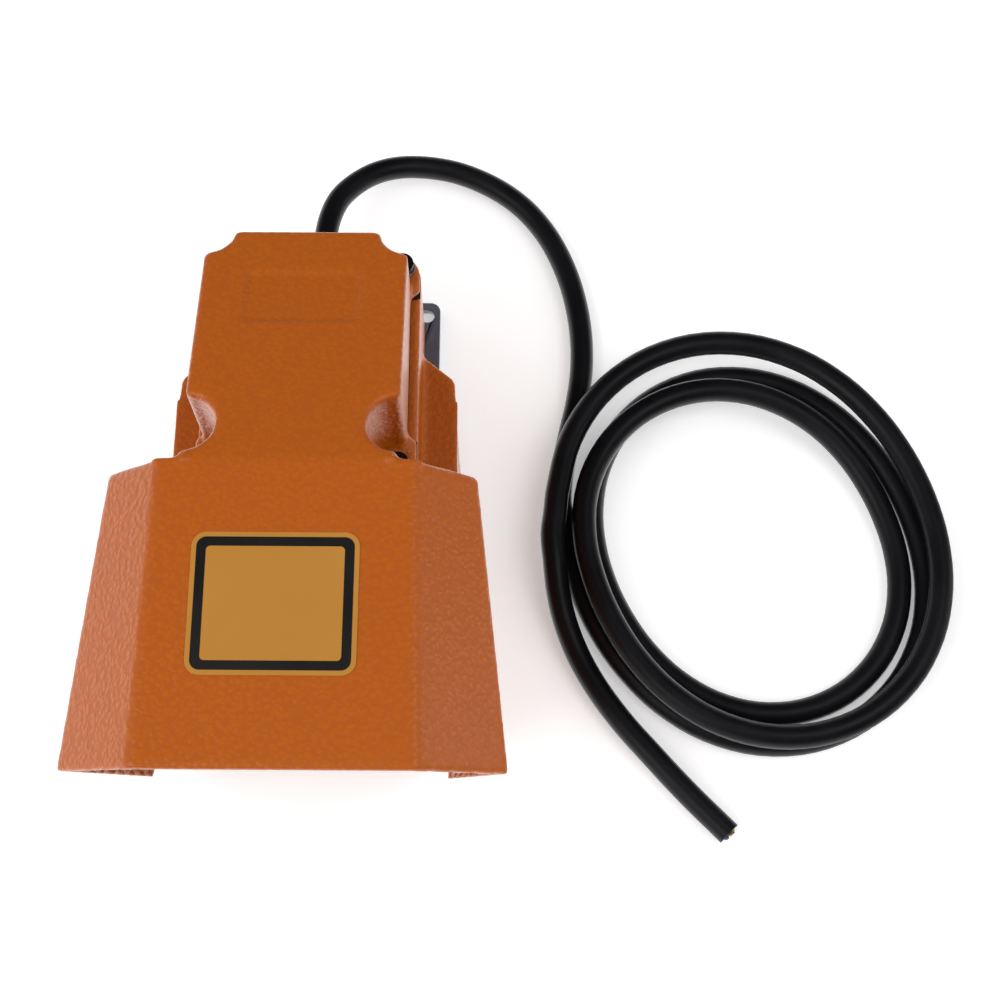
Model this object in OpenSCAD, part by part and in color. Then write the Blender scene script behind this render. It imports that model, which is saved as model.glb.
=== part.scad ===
// Guarded foot switch: a cast hood and base, a hinged pedal, a sealed contact block and its cord.
// Millimetres, +Z up. The mouth of the guard faces -Y. The origin is on the floor below its middle.

/* [Overall] */
// Length of the hood's flat top
hood_len = 106.5; // [102:0.5:112]
// Thickness of every cast wall
wall = 3.5; // [2.5:0.25:4]
// Half of the width of the switch chamber
chamber_half_w = 37.5; // [37:0.25:40]
// Length of the switch chamber
chamber_len = 102.5; // [100:0.5:106]

/* [Base] */
// Height of the rubber feet
foot_h = 2; // [1.5:0.5:6]
// Radius of the rubber feet
foot_r = 8; // [6:0.5:9]
// Thickness of the steel base plate
plate_t = 4; // [2:0.5:5]
// How far the base plate stands out beside the base
plate_side_lip = 6; // [4:0.5:7]
// How far the base plate stands out behind the base
plate_rear_lip = 5.7; // [5:0.1:7]
// Width of the fixing slots, for M5 screws
slot_w = 5.5; // [5.3:0.1:6.8]
// Length of the fixing slots
slot_len = 12; // [9:0.5:13]
// Height of the cast base behind
base_h = 48; // [46:0.5:52]
// Height of the low wings and of the tray
wing_h = 19; // [18:0.5:21]
// Step from the chamber to the wider base below it
ledge = 3.5; // [3:0.25:5]
// Half of the width of the wings under the hood
wing_half_w = 56; // [55:0.5:60]
// How far the wings lean out towards their feet
wing_flare = 3.5; // [2:0.5:5]

/* [Guard hood] */
// Height of the hood above the joint with the base
hood_h = 60; // [58:0.5:70]
// Height of the chamber's rear end above that joint
rear_h = 29; // [27:0.5:32]
// Height of the slanted sides between the top and the widest line
shoulder_h = 29; // [24:0.5:34]
// Half of the width of the flat top at its rear
top_rear_half = 43.5; // [42:0.5:48]
// Half of the width of the flat top at its front
top_front_half = 46.5; // [44:0.5:52]
// Half of the greatest width at the rear
wide_rear_half = 64.5; // [62:0.5:68]
// Half of the greatest width at the front
wide_front_half = 76; // [73:0.5:82]

/* [Pedal] */
// Half of the width of the tread
tread_half_w = 44; // [38:0.5:46]
// How far the tread stands out in front of the tray
tread_overhang = 1.5; // [0:0.5:4]
// Thickness of the tread
tread_t = 4; // [3:0.25:5]
// Slope of the released tread
tread_slope = 12; // [10:0.5:14]
// Angle that the pedal turns when it is pressed
pedal_travel = 8; // [5:0.5:9]
// Radius of the pedal's shaft
shaft_r = 4; // [3:0.25:4.5]

/* [Cord] */
// Diameter of the cord
cord_d = 9.4; // [7:0.1:9.8]
// Steady rate at which the coil's loops spiral in and out, for each loop
coil_pitch = 11; // [10.8:0.1:13]
// Mean radius at which the coil begins
coil_start_r = 76.5; // [74:0.5:90]

/* [Hidden] */

// Length by which every cut overruns the surface it opens
cut = 1;
// Clearance of a screw in its thread, and of a shaft in its bore
snug = 0.05;
// Gap between pieces that move apart, and under pieces that only rest near each other
gap = 0.3;
// Room under the tip of a screw in its hole
tip_gap = 1;
$fn = 48;

// Heights of the main faces
seat_z = foot_h + plate_t;
floor_z = seat_z + wall;
base_top_z = seat_z + base_h;
wing_top_z = seat_z + wing_h;
gasket_t = 1;
rim_z = base_top_z + gasket_t;
hood_top_z = rim_z + hood_h;
rear_top_z = rim_z + rear_h;
wide_z = hood_top_z - shoulder_h;
hood_gap = 0.5;
hood_low_z = wing_top_z + hood_gap;

// Places along the body, from the front of the hood to the rear of the base plate
ledge_rear = 2.3;
half_length = (hood_len + chamber_len + ledge_rear + plate_rear_lip) / 2;
base_rear_y = half_length - plate_rear_lip;
chamber_rear_y = base_rear_y - ledge_rear;
knee_y = chamber_rear_y - chamber_len;
base_half_w = chamber_half_w + ledge;
plate_half_w = base_half_w + plate_side_lip;

// The hood leans back towards its lower edges, at the front and at the rear
front_lean_share = 0.17;
rear_lean_share = 0.08;
low_front_half = wing_half_w - hood_gap;
low_rear_half = low_front_half - ledge;
// The slanted sides are flat, so their lower edges rise towards the narrower rear
shoulder_share = (wide_rear_half - top_rear_half) / (wide_front_half - top_front_half);
wide_rear_z = hood_top_z - shoulder_h * shoulder_share;
hood_steps = 6;

// Sloping lid of the chamber: its height at any place
lid_fall_share = (hood_top_z - rear_top_z) / chamber_len;
function lid_z(y) = hood_top_z - lid_fall_share * (y - knee_y);

// Screw pockets beside the chamber's front, and scallops at its rear corners
pocket_r = 11.5;
pocket_setback = 15;
pocket_y = knee_y + pocket_setback;
scallop_r = 10.5;
ear_t = 5;
ear_top_z = rim_z + ear_t;
base_corner_r = 8;
casing_screw_r = 2.5;
casing_head_r = 4.2;
casing_head_h = 3.5;
casing_screw_grip = 15;
washer_t = 1;
boss_r = 5.5;
casing_screw_inset = 3.2;
casing_screw_x = chamber_half_w - casing_screw_inset;
front_screw_step = 3;
front_screw_y = pocket_y + front_screw_step;
rear_screw_y = base_rear_y - boss_r - gap;
casing_screw_places = [for (s = [-1, 1], y = [front_screw_y, rear_screw_y]) [s * casing_screw_x, y]];
rim_flange_t = 4;

// Recessed blank panel on the lid
recess_w = 42;
recess_len = 23.5;
recess_rear_gap = 20;
recess_depth = 1.2;

// Blank label on the hood
label_w = 56;
label_len = 49;
label_t = 0.25;
label_corner_r = 5;
label_x = -2.2;
label_front_gap = 31;

// Tray under the pedal
tray_setback = 22;
tray_front_y = tray_setback - half_length;
tray_corner_r = 8;
tray_inner_r = tray_corner_r / 2;
tray_lip_h = 7;
rail_t = 4;
shoulder_setback = 27;
shoulder_y = base_rear_y - shoulder_setback;
shoulder_len = 10;
shoulder_taper = 2;
shoulder_half_w = wing_half_w - shoulder_taper;
stop_boss_r = 5;
stop_boss_inset = 14;
stop_boss_x = tread_half_w - stop_boss_inset;

// Tunnel under the chamber, where the pedal's hub and arm work
tunnel_half_w = 30;
tunnel_len = 64;
tunnel_h = 28.5;
tunnel_rear_y = knee_y + tunnel_len;
slab_z = floor_z + tunnel_h;
slab_top_z = slab_z + wall;

// Pivot
pivot_setback = 24;
pivot_h = 12;
hub_t = 4;
pivot_y = knee_y + pivot_setback;
pivot_z = seat_z + pivot_h;
hub_r = shaft_r + hub_t;
shaft_inset = 1;
set_screw_r = 2;
set_screw_inset = 6;
set_screw_x = tunnel_half_w + set_screw_inset;

// Arm, adjusting screw and plunger
arm_reach = 28;
arm_overhang = 6;
plunger_y = pivot_y + arm_reach;
arm_half_w = 8;
arm_t = 8;
arm_z = pivot_z - arm_t / 2;
arm_end_y = plunger_y + arm_overhang;
adjuster_r = 2.5;
adjuster_head_r = 4.6;
adjuster_head_h = 3;
locknut_h = 3;
adjuster_tail = 2;
free_play = 0.65;
adjuster_top_z = arm_z + arm_t + locknut_h + adjuster_head_h;
plunger_lift = arm_reach * pedal_travel * PI / 180;
plunger_z = adjuster_top_z + free_play;
plunger_r = 3;
bush_r = 5;
bush_flange_r = 7;
bush_flange_t = 1.2;
boot_t = 1.2;
boot_top_r = 9;
boot_setback = 2;
boot_low_z = plunger_z + boot_setback;

// Tread
tread_gap = 4;
tread_rise = 2.5;
tread_rear_y = knee_y - tread_gap;
tread_front_y = tray_front_y - tread_overhang;
tread_len = tread_rear_y - tread_front_y;
tread_rear_z = pivot_z + hub_r + tread_rise;
function tread_z(y) = tread_rear_z + tan(tread_slope) * (tread_rear_y - y);
tread_drop = tread_t / cos(tread_slope);
skirt_t = 3;
skirt_h = 9;
skirt_drop = 1;
neck_drop = 0.5;
nose_h = 8;
pad_rib_w = 3;
pad_rib_h = 1.4;
pad_rib_pitch = 7.5;
pad_share = 0.9;
pad_rib_count = floor(tread_len * pad_share / pad_rib_pitch);
pad_margin = 4;
pad_t = 1.2;

// The stops under the tread end just below it when it is pressed down
stop_boss_y = tread_front_y + tread_len / 3;
stop_top_z =
    let (
        y = stop_boss_y - pivot_y,
        z = tread_z(stop_boss_y) - tread_drop - pivot_z
    )
    pivot_z + z * cos(pedal_travel) + y * sin(pedal_travel) - 2 * stop_boss_r * tan(tread_slope) - gap;

// Return spring under the tread
spring_setback = 26;
spring_y = tread_rear_y - spring_setback;
spring_r = 8;
spring_wire_d = 1.8;
spring_curls = 5;
spring_rings = 8;
spring_sides = 6;
spring_foot_z = floor_z;
spring_top_z = tread_z(spring_y) - tread_drop - spring_wire_d * tan(tread_slope) / 2 - gap;
spigot_r = spring_r - spring_wire_d;
spigot_h = 3;

// Contact block in the chamber
bracket_t = 2;
bracket_half_w = 27;
bracket_half_len = 17;
block_half_w = 20;
block_half_len = 15;
block_wall = 3;
block_z = slab_top_z + bracket_t;
block_h = 33;
block_cover_t = 3;
block_top_z = block_z + block_h;
strip_t = 1;
strip_half_len = 3;
strip_inner_x = 8;
strip_reach = 6;
strip_outer_x = block_half_w + strip_reach;
contact_r = 1.8;
contact_t = 0.8;
carrier_r = 5;
carrier_h = 2;
bridge_t = 1;
bridge_overlap = 4;
bridge_half_w = strip_inner_x + bridge_overlap;
bridge_half_len = 4.5;
contact_x = bridge_half_w - contact_r;
terminal_x = strip_outer_x - strip_half_len;
strip_rise = 6;
rest_strip_z = block_z + block_wall + strip_rise;
bridge_z = rest_strip_z + strip_t + 2 * contact_t + gap;
work_strip_z = bridge_z + bridge_t + 2 * contact_t + plunger_lift + gap;
plunger_tip = 3;
plunger_top_z = bridge_z + bridge_t + plunger_tip;
plunger_spring_r = 4.5;
plunger_spring_t = 1.2;
small_screw_r = 1.5;
small_head_r = 2.8;
small_head_h = 2;
block_screw_inset = 3;
block_screw_y = block_half_len - block_screw_inset;
block_screw_x = block_half_w - block_screw_inset;
bracket_screw_inset = 3.5;
bracket_screw_x = bracket_half_w - bracket_screw_inset;
bracket_screw_grip = 3;
spring_cap_t = 1;

// Earth terminal beside the gland
earth_x = -24;
earth_setback = 16;
earth_y = base_rear_y - earth_setback;
earth_boss_h = 8;
earth_boss_r = 5;

// Base plate
plate_setback = 8;
plate_front_y = tray_front_y + plate_setback;
plate_corner_r = 4;
slot_side = 8.5;
slot_end = 6;
slot_x = plate_half_w - slot_side;
slot_rear_y = half_length - slot_end;
slot_front_y = plate_front_y + slot_end;
slot_relief_r = 7;
slot_relief_h = 6.5;
slot_boss_t = 1.75;
foot_side = 12;
foot_rear_step = 20;
foot_front_step = 16;
foot_x = plate_half_w - foot_side;
foot_rear_y = slot_rear_y - foot_rear_step;
foot_front_y = slot_front_y + foot_front_step;
foot_stem_r = 2.5;
plate_screw_r = 2;
plate_screw_head_r = 4;
plate_screw_grip = 7;
plate_screw_rear_step = [-8, -6];
plate_screw_front_step = [6, 12];
plate_screw_rear = [foot_x, foot_rear_y] + plate_screw_rear_step;
plate_screw_front = [foot_x, foot_front_y] + plate_screw_front_step;
plate_screw_places = [for (s = [-1, 1], p = [plate_screw_rear, plate_screw_front]) [s * p.x, p.y]];
plate_boss_r = 5;
plate_boss_h = 6;

// Cable gland
gland_h = 14;
gland_z = seat_z + gland_h;
gland_thread_r = 10;
gland_thread_len = 8;
gland_hex_r = 13.8;
gland_hex_len = 6;
gland_flat_r = gland_hex_r * cos(180 / 6);
gland_neck_r = 9;
gland_neck_len = 5;
gland_bore_r = 6.2;
gland_nut_len = 9;
gland_dome_len = 6;
gland_dome_r = 8;
gland_boss_r = 13;
gland_hex_y = base_rear_y + gland_hex_len;
gland_end_y = gland_hex_y + gland_nut_len + gland_dome_len;

// Cord: its lying height, its coil and its two free stretches
cord_r = cord_d / 2;
cord_lie_z = cord_r + 2 * snug;
cord_sides = 8;
coil_x = 171;
coil_setback = 99.3;
coil_y = base_rear_y - coil_setback;
coil_oval_share = 0.09;
coil_oval_angle = 114;
coil_rings = 24;
coil_sides = 6;
coil_from = 180;
coil_to = 1245;
coil_turn_in = 1.5;
coil_climb = 0.5;
coil_layer = cord_d + 2 * gap;
coil_lift_share = 0.6;
coil_turn_share = 0.35;
coil_step_out = 10;

// Places as [x, setback from the rear of the base, height], turned into points: a height is
// measured from the cord lying on the floor, or from the base's seat for what is inside
function on_floor(p) = [p.x, base_rear_y - p.y, cord_lie_z + p.z];
function in_base(p) = [p.x, base_rear_y - p.y, seat_z + p.z];
lead_in_gland = [3.8, -9.2, -22.2, -27.2];
lead_on_floor = [
    [1.5, -37.2, 14.7], [5, -46.7, 13.7], [11.5, -54.7, 12.2], [19.5, -61.2, 9.7], [29, -65.2, 7.2],
    [40, -66.7, 4.7], [52, -65.7, 2.7], [63, -62.2, 1.2], [72.5, -57.2, 0.2], [80.5, -50.7, 0],
    [87, -43.2, 0], [92.5, -34.7, 0], [97, -25.2, 0], [100.5, -15.2, 0], [103, -4.7, 0],
    [104.5, 5.8, 0], [105, 16.8, 0], [104.4, 27.8, 0], [102.7, 38.8, 0], [100.3, 49.8, 0],
    [98, 60.8, 0], [96.5, 71, 0]
];
tail_on_floor = [
    [93.4, 107.8, 9.2], [94.5, 117.8, 6.7], [96.5, 127.3, 3.7], [99.5, 136.3, 1.7], [103.5, 145.3, 0.4],
    [108.5, 154.3, 0], [114.5, 163.3, 0], [121.5, 172.3, 0], [129.5, 181.3, 0], [137.5, 190.3, 0],
    [146, 199.3, 0], [155, 208.3, 0], [158.5, 211.8, 0]
];

// Cores inside the base. Their last points follow what they are fastened to
wire_r = 1.3;
core_end_x = strip_outer_x + wire_r + 2 * snug;
core_end_z = work_strip_z + strip_t / 2;
core_bend = [0, 8, -1.2];
core_tip = [0, -1, 0];
brown_in_base = [
    [0, 3.8, 16], [0, 8.8, 16], [-6, 14.8, 19], [-14, 22.8, 28], [-22, 29.8, 40], [-27, 36.8, 50]
];
blue_in_base = [
    [1.8, 3.8, 13], [1.8, 8.8, 13], [7, 14.8, 17], [15, 22.8, 27], [22, 29.8, 40], [27, 36.8, 50]
];
earth_in_base = [
    [-1.8, 3.8, 13], [-1.8, 8.8, 13], [-6, 11.8, 13.1], [-11, 14.3, 13.1], [-16, 15.6, 13.1]
];
earth_tip = [earth_x + small_head_r + gap, earth_y, floor_z + earth_boss_h + wire_r + gap];

// Vector helpers
function unit(v) = v / norm(v);
function tangent(p, i) =
    let (last = len(p) - 1)
    unit(p[min(i + 1, last)] - p[max(i - 1, 0)]);

// Tube of one radius along a list of points. Each ring is square to the path there, and a
// reference direction for each point settles where the ring begins.
module tube(path, refs, r, sides) {
    n = len(path);
    points = [
        for (i = [0 : n - 1])
            let (t = tangent(path, i), b = unit(cross(t, refs[i])), u = cross(b, t))
            for (j = [0 : sides - 1])
                path[i] + r * (cos(360 * j / sides) * u + sin(360 * j / sides) * b)
    ];
    skin = [
        for (i = [0 : n - 2], j = [0 : sides - 1])
            let (k = (j + 1) % sides, a = i * sides, b = a + sides)
            each [[a + j, b + j, b + k], [a + j, b + k, a + k]]
    ];
    ends = [
        [for (j = [0 : sides - 1]) j],
        [for (j = [0 : sides - 1]) n * sides - 1 - j]
    ];
    polyhedron(points, concat(skin, ends));
}

// Outline in the side view, given as [y, z] points, and as wide as twice half_w across X
module across(half_w) {
    rotate([90, 0, 90])
        linear_extrude(2 * half_w, center = true)
            children();
}

// Cylinder along X, Y or Z between two places on that axis
module rod_x(x0, x1, y, z, r) {
    translate([x0, y, z]) rotate([0, 90, 0]) cylinder(x1 - x0, r = r);
}
module rod_y(y0, y1, x, z, r, sides = $fn) {
    translate([x, y1, z]) rotate([90, 0, 0]) cylinder(y1 - y0, r = r, $fn = sides);
}
module rod_z(z0, z1, x, y, r, sides = $fn) {
    translate([x, y, z0]) cylinder(z1 - z0, r = r, $fn = sides);
}

// Box symmetric about X = 0
module slab(half_w, y0, y1, z0, z1) {
    translate([-half_w, y0, z0]) cube([2 * half_w, y1 - y0, z1 - z0]);
}

// Rectangle in the plan symmetric about X = 0, with its own corner radius at each end
module plan_plate(half_w, y0, y1, front_r, rear_r) {
    translate([-half_w, y0 + front_r]) square([2 * half_w, y1 - y0 - front_r - rear_r]);
    translate([front_r - half_w, y0]) square([2 * (half_w - front_r), y1 - y0]);
    translate([rear_r - half_w, y0 + front_r]) square([2 * (half_w - rear_r), y1 - y0 - front_r]);
    for (s = [-1, 1]) {
        translate([s * (half_w - front_r), y0 + front_r]) circle(front_r);
        translate([s * (half_w - rear_r), y1 - rear_r]) circle(rear_r);
    }
}

// Sections of the hood, as [x, z] corners from the lower left edge to the lower right one
function hood_section(top_half, wide_half, widest_z, low_half) = [
    [-low_half, hood_low_z], [-wide_half, widest_z], [-top_half, hood_top_z],
    [top_half, hood_top_z], [wide_half, widest_z], [low_half, hood_low_z]
];
front_section = hood_section(top_front_half, wide_front_half, wide_z, low_front_half);
rear_section = hood_section(top_rear_half, wide_rear_half, wide_rear_z, low_rear_half);

// Corner b of a clockwise outline moved inwards by t, between the corners a and c
function inset_corner(a, b, c, t) =
    let (
        u = unit(b - a), v = unit(c - b),
        m = [u.y, -u.x], n = [v.y, -v.x],
        bend = m.x * n.y - m.y * n.x
    )
    b + t * [n.y - m.y, m.x - n.x] / bend;
function inset_section(s, t) =
    let (n = len(s))
    [for (i = [0 : n - 1]) inset_corner(s[(i + n - 1) % n], s[i], s[(i + 1) % n], t)];
function drop_feet(s, z) = [
    for (i = [0 : len(s) - 1]) (i == 0 || i == len(s) - 1) ? [s[i].x, z] : s[i]
];

// Solid between a front section and a rear section, both in planes that lean back as they go
// down. The steps between them let a side that is twisted pass for a smooth one.
module lofted(front, rear, front_y, rear_y) {
    n = len(front);
    points = [
        for (step = [0 : hood_steps], i = [0 : n - 1])
            let (
                a = [front[i].x, front_y + front_lean_share * (hood_top_z - front[i].y), front[i].y],
                b = [rear[i].x, rear_y + rear_lean_share * (hood_top_z - rear[i].y), rear[i].y]
            )
            a + (b - a) * step / hood_steps
    ];
    skin = [
        for (step = [0 : hood_steps - 1], i = [0 : n - 1])
            let (k = (i + 1) % n, a = step * n, b = a + n)
            each [[a + i, b + i, b + k], [a + i, b + k, a + k]]
    ];
    ends = [[for (i = [0 : n - 1]) i], [for (i = [0 : n - 1]) (hood_steps + 1) * n - 1 - i]];
    polyhedron(points, concat(skin, ends));
}

// Hood, solid or hollow
module hood_block() {
    lofted(front_section, rear_section, -half_length, knee_y);
}
module hood_hollow() {
    front = drop_feet(inset_section(front_section, wall), hood_low_z - cut);
    rear = drop_feet(inset_section(rear_section, wall), hood_low_z - cut);
    lofted(front, rear, -half_length - cut, knee_y - wall);
}

// Chamber of the upper casting: its outside, and what is hollowed out of it
module chamber_block() {
    intersection() {
        translate([0, 0, rim_z])
            linear_extrude(hood_h)
                plan_plate(chamber_half_w, knee_y, chamber_rear_y, wall, wall);
        across(chamber_half_w)
            polygon([
                [knee_y, rim_z], [knee_y, hood_top_z],
                [chamber_rear_y, rear_top_z], [chamber_rear_y, rim_z]
            ]);
    }
}
module chamber_hollow() {
    y0 = knee_y + wall;
    y1 = chamber_rear_y - wall;
    difference() {
        across(chamber_half_w - wall)
            polygon([[y0, rim_z - cut], [y0, lid_z(y0) - wall], [y1, lid_z(y1) - wall], [y1, rim_z - cut]]);
        pocket_columns(wall);
    }
}
module pocket_columns(grow) {
    for (s = [-1, 1]) {
        rod_z(rim_z - 2 * cut, hood_top_z, s * chamber_half_w, pocket_y, pocket_r + grow);
        rod_z(rim_z - 2 * cut, hood_top_z, s * chamber_half_w, chamber_rear_y, scallop_r + grow);
    }
}

// Ears that carry the casing screws on the joint
module ears(z0, z1) {
    intersection() {
        union()
            for (s = [-1, 1]) {
                rod_z(z0, z1, s * chamber_half_w, pocket_y, pocket_r + wall);
                rod_z(z0, z1, s * chamber_half_w, chamber_rear_y, scallop_r + wall);
            }
        translate([0, 0, z0])
            linear_extrude(z1 - z0)
                plan_plate(base_half_w, knee_y, base_rear_y, wall, base_corner_r);
    }
}

module upper_casting() {
    color("#b5581c")
    difference() {
        union() {
            difference() {
                hood_block();
                hood_hollow();
            }
            chamber_block();
            ears(rim_z, ear_top_z);
        }
        chamber_hollow();
        // Room for the base below the joint
        slab(base_half_w + hood_gap, knee_y - wall - cut, base_rear_y, 0, rim_z);
        for (s = [-1, 1]) {
            rod_z(ear_top_z, hood_top_z + cut, s * chamber_half_w, pocket_y, pocket_r);
            rod_z(ear_top_z, hood_top_z + cut, s * chamber_half_w, chamber_rear_y, scallop_r);
        }
        for (p = casing_screw_places)
            rod_z(rim_z - cut, ear_top_z + cut, p.x, p.y, casing_screw_r + gap);
        // Recessed panel on the sloping lid
        across(recess_w / 2)
            polygon([
                for (e = [[0, -1], [0, 1], [1, 1], [1, -1]])
                    let (y = chamber_rear_y - recess_rear_gap - (1 - e.x) * recess_len)
                    [y, lid_z(y) + (e.y < 0 ? -recess_depth : cut)]
            ]);
    }
}

// Plan of the wings and tray
module wing_plan() {
    polygon([
        [-wing_half_w, tray_front_y + tray_corner_r], [-wing_half_w, knee_y],
        [-shoulder_half_w, shoulder_y - shoulder_len], [wall - base_half_w, shoulder_y + wall],
        [base_half_w - wall, shoulder_y + wall], [shoulder_half_w, shoulder_y - shoulder_len],
        [wing_half_w, knee_y], [wing_half_w, tray_front_y + tray_corner_r]
    ]);
    plan_plate(wing_half_w, tray_front_y, knee_y, tray_corner_r, wall);
}

// Wedge that makes a wing's side lean out towards its foot, most of all below the hood's rear
module wing_side() {
    polyhedron(
        [
            [wing_half_w - wall, knee_y, seat_z], [wing_half_w, tray_front_y + tray_corner_r, seat_z],
            [wing_half_w + wing_flare, knee_y, seat_z], [shoulder_half_w, shoulder_y - shoulder_len, seat_z],
            [wing_half_w, knee_y, wing_top_z]
        ],
        [[1, 2, 3, 0], [1, 4, 2], [2, 4, 3], [3, 4, 0], [0, 4, 1]]
    );
}

module lower_casting() {
    inner_half_w = base_half_w - wall;
    inner_rear_y = base_rear_y - wall;
    flange_z = base_top_z - rim_flange_t;
    rim_half_w = chamber_half_w - wall;
    wing_core_y = pivot_y + hub_r;
    wing_core_len = shoulder_y - shoulder_len - hub_r - wing_core_y;
    color("#a9511a")
    difference() {
        union() {
            difference() {
                union() {
                    translate([0, 0, seat_z])
                        linear_extrude(base_h)
                            plan_plate(base_half_w, knee_y, base_rear_y, wall, base_corner_r);
                    translate([0, 0, seat_z]) linear_extrude(wing_h) wing_plan();
                    for (side = [0, 1]) mirror([side, 0, 0]) wing_side();
                }
                // Tray, open above
                translate([0, 0, floor_z])
                    linear_extrude(wing_h)
                        plan_plate(wing_half_w - rail_t, tray_front_y + rail_t, knee_y, tray_inner_r, wall);
                slab(wing_half_w - rail_t - tray_corner_r, tray_front_y - cut, tray_front_y + 2 * rail_t,
                    floor_z + tray_lip_h, wing_top_z + cut);
                // Tunnel for the hub and the arm
                slab(tunnel_half_w, knee_y - cut, tunnel_rear_y, floor_z, slab_z);
                // Sealed chamber above and behind the tunnel
                slab(inner_half_w, knee_y + wall, inner_rear_y, slab_top_z, flange_z);
                slab(inner_half_w, tunnel_rear_y + wall, inner_rear_y, floor_z, flange_z);
                slab(rim_half_w, knee_y + wall, chamber_rear_y - wall, slab_top_z, base_top_z + cut);
                // Cores that lighten the wings from below
                for (s = [-1, 1])
                    translate([s * (base_half_w + shoulder_half_w) / 2, wing_core_y, seat_z - cut])
                        slab(wall / 2, 0, wing_core_len, 0, wing_h - wall + cut);
            }
            // Bosses for the casing screws, the plate screws, the gland, the stops and the spring
            for (p = casing_screw_places)
                rod_z(slab_z, base_top_z, p.x, p.y, boss_r - gap);
            for (p = plate_screw_places)
                rod_z(seat_z, floor_z + plate_boss_h, p.x, p.y, plate_boss_r);
            rod_y(base_rear_y - gland_thread_len, base_rear_y - wall / 2, 0, gland_z, gland_boss_r);
            rod_z(seat_z, floor_z + earth_boss_h, earth_x, earth_y, earth_boss_r);
            for (s = [-1, 1])
                rod_z(seat_z, stop_top_z, s * stop_boss_x, stop_boss_y, stop_boss_r);
            rod_z(seat_z, floor_z + spigot_h, 0, spring_y, spigot_r - gap);
            slot_bosses();
        }
        for (p = casing_screw_places)
            rod_z(base_top_z - casing_screw_grip, base_top_z + cut, p.x, p.y, casing_screw_r + snug);
        for (p = plate_screw_places)
            rod_z(seat_z - cut, seat_z + plate_screw_grip, p.x, p.y, plate_screw_r + snug);
        rod_y(base_rear_y - gland_thread_len - cut, base_rear_y + cut, 0, gland_z, gland_thread_r + snug);
        rod_x(-wing_half_w - cut, wing_half_w + cut, pivot_y, pivot_z, shaft_r + snug);
        for (s = [-1, 1])
            rod_z(seat_z - cut, pivot_z, s * set_screw_x, pivot_y, set_screw_r + snug);
        rod_z(slab_z - cut, slab_top_z + cut, 0, plunger_y, bush_r + snug);
        for (s = [-1, 1]) {
            rod_z(slab_z - cut, slab_top_z + cut, s * bracket_screw_x, plunger_y, small_screw_r + snug);
            // Room for the heads of the screws in the fixing slots
            for (y = [slot_rear_y, slot_front_y])
                rod_z(seat_z - cut, seat_z + slot_relief_h, s * slot_x, y, slot_relief_r);
        }
        rod_z(floor_z, floor_z + earth_boss_h + cut, earth_x, earth_y, small_screw_r + snug);
    }
}

// Covers over the room that the base leaves for the screw heads in its rear fixing slots
module slot_bosses() {
    intersection() {
        union()
            for (s = [-1, 1])
                rod_z(seat_z, seat_z + slot_relief_h + slot_boss_t, s * slot_x, slot_rear_y,
                    slot_relief_r + slot_boss_t);
        translate([0, 0, seat_z])
            linear_extrude(base_h)
                plan_plate(base_half_w, knee_y, base_rear_y, wall, base_corner_r);
    }
}

module base_plate() {
    color("#585a68")
    difference() {
        translate([0, 0, foot_h])
            linear_extrude(plate_t)
                plan_plate(plate_half_w, plate_front_y, half_length, plate_corner_r, plate_corner_r);
        for (s = [-1, 1]) {
            for (y = [slot_rear_y, slot_front_y])
                translate([s * slot_x, y, foot_h - cut]) fixing_slot();
            for (y = [foot_rear_y, foot_front_y])
                rod_z(foot_h - cut, seat_z + cut, s * foot_x, y, foot_stem_r + snug);
            rod_z(foot_h - cut, seat_z + cut, s * set_screw_x, pivot_y, set_screw_r + 2 * gap);
        }
        for (p = plate_screw_places)
            translate([p.x, p.y, foot_h - gap]) {
                cylinder(plate_t + cut, r = plate_screw_r + gap);
                cylinder(plate_screw_head_r + gap - plate_screw_r, r1 = plate_screw_head_r + 2 * gap,
                    r2 = plate_screw_r + gap);
            }
    }
}
module fixing_slot() {
    reach = (slot_len - slot_w) / 2;
    for (s = [-1, 1]) translate([s * reach, 0, 0]) cylinder(plate_t + 2 * cut, r = slot_w / 2);
    translate([-reach, -slot_w / 2, 0]) cube([2 * reach, slot_w, plate_t + 2 * cut]);
}

module rubber_feet() {
    color("#1c1c1d")
    for (s = [-1, 1], y = [foot_rear_y, foot_front_y])
        translate([s * foot_x, y, 0]) {
            cylinder(foot_h, r1 = foot_r - foot_h / 3, r2 = foot_r);
            cylinder(seat_z - gap, r = foot_stem_r);
        }
}

module chamber_gasket() {
    y0 = knee_y + wall;
    y1 = chamber_rear_y - wall;
    color("#222222")
    difference() {
        union() {
            translate([0, 0, base_top_z])
                linear_extrude(gasket_t)
                    plan_plate(chamber_half_w, knee_y, chamber_rear_y, wall, wall);
            ears(base_top_z, rim_z);
        }
        difference() {
            slab(chamber_half_w - wall, y0, y1, base_top_z - cut, rim_z + cut);
            ears(base_top_z - 2 * cut, rim_z + 2 * cut);
        }
        for (p = casing_screw_places)
            rod_z(base_top_z - cut, rim_z + cut, p.x, p.y, casing_screw_r + gap);
    }
}

module casing_screws() {
    color("#9a9a98")
    for (p = casing_screw_places)
        socket_screw(p, ear_top_z + washer_t, casing_screw_r, casing_head_r, casing_head_h,
            ear_top_z + washer_t - base_top_z + casing_screw_grip - tip_gap);
}
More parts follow.
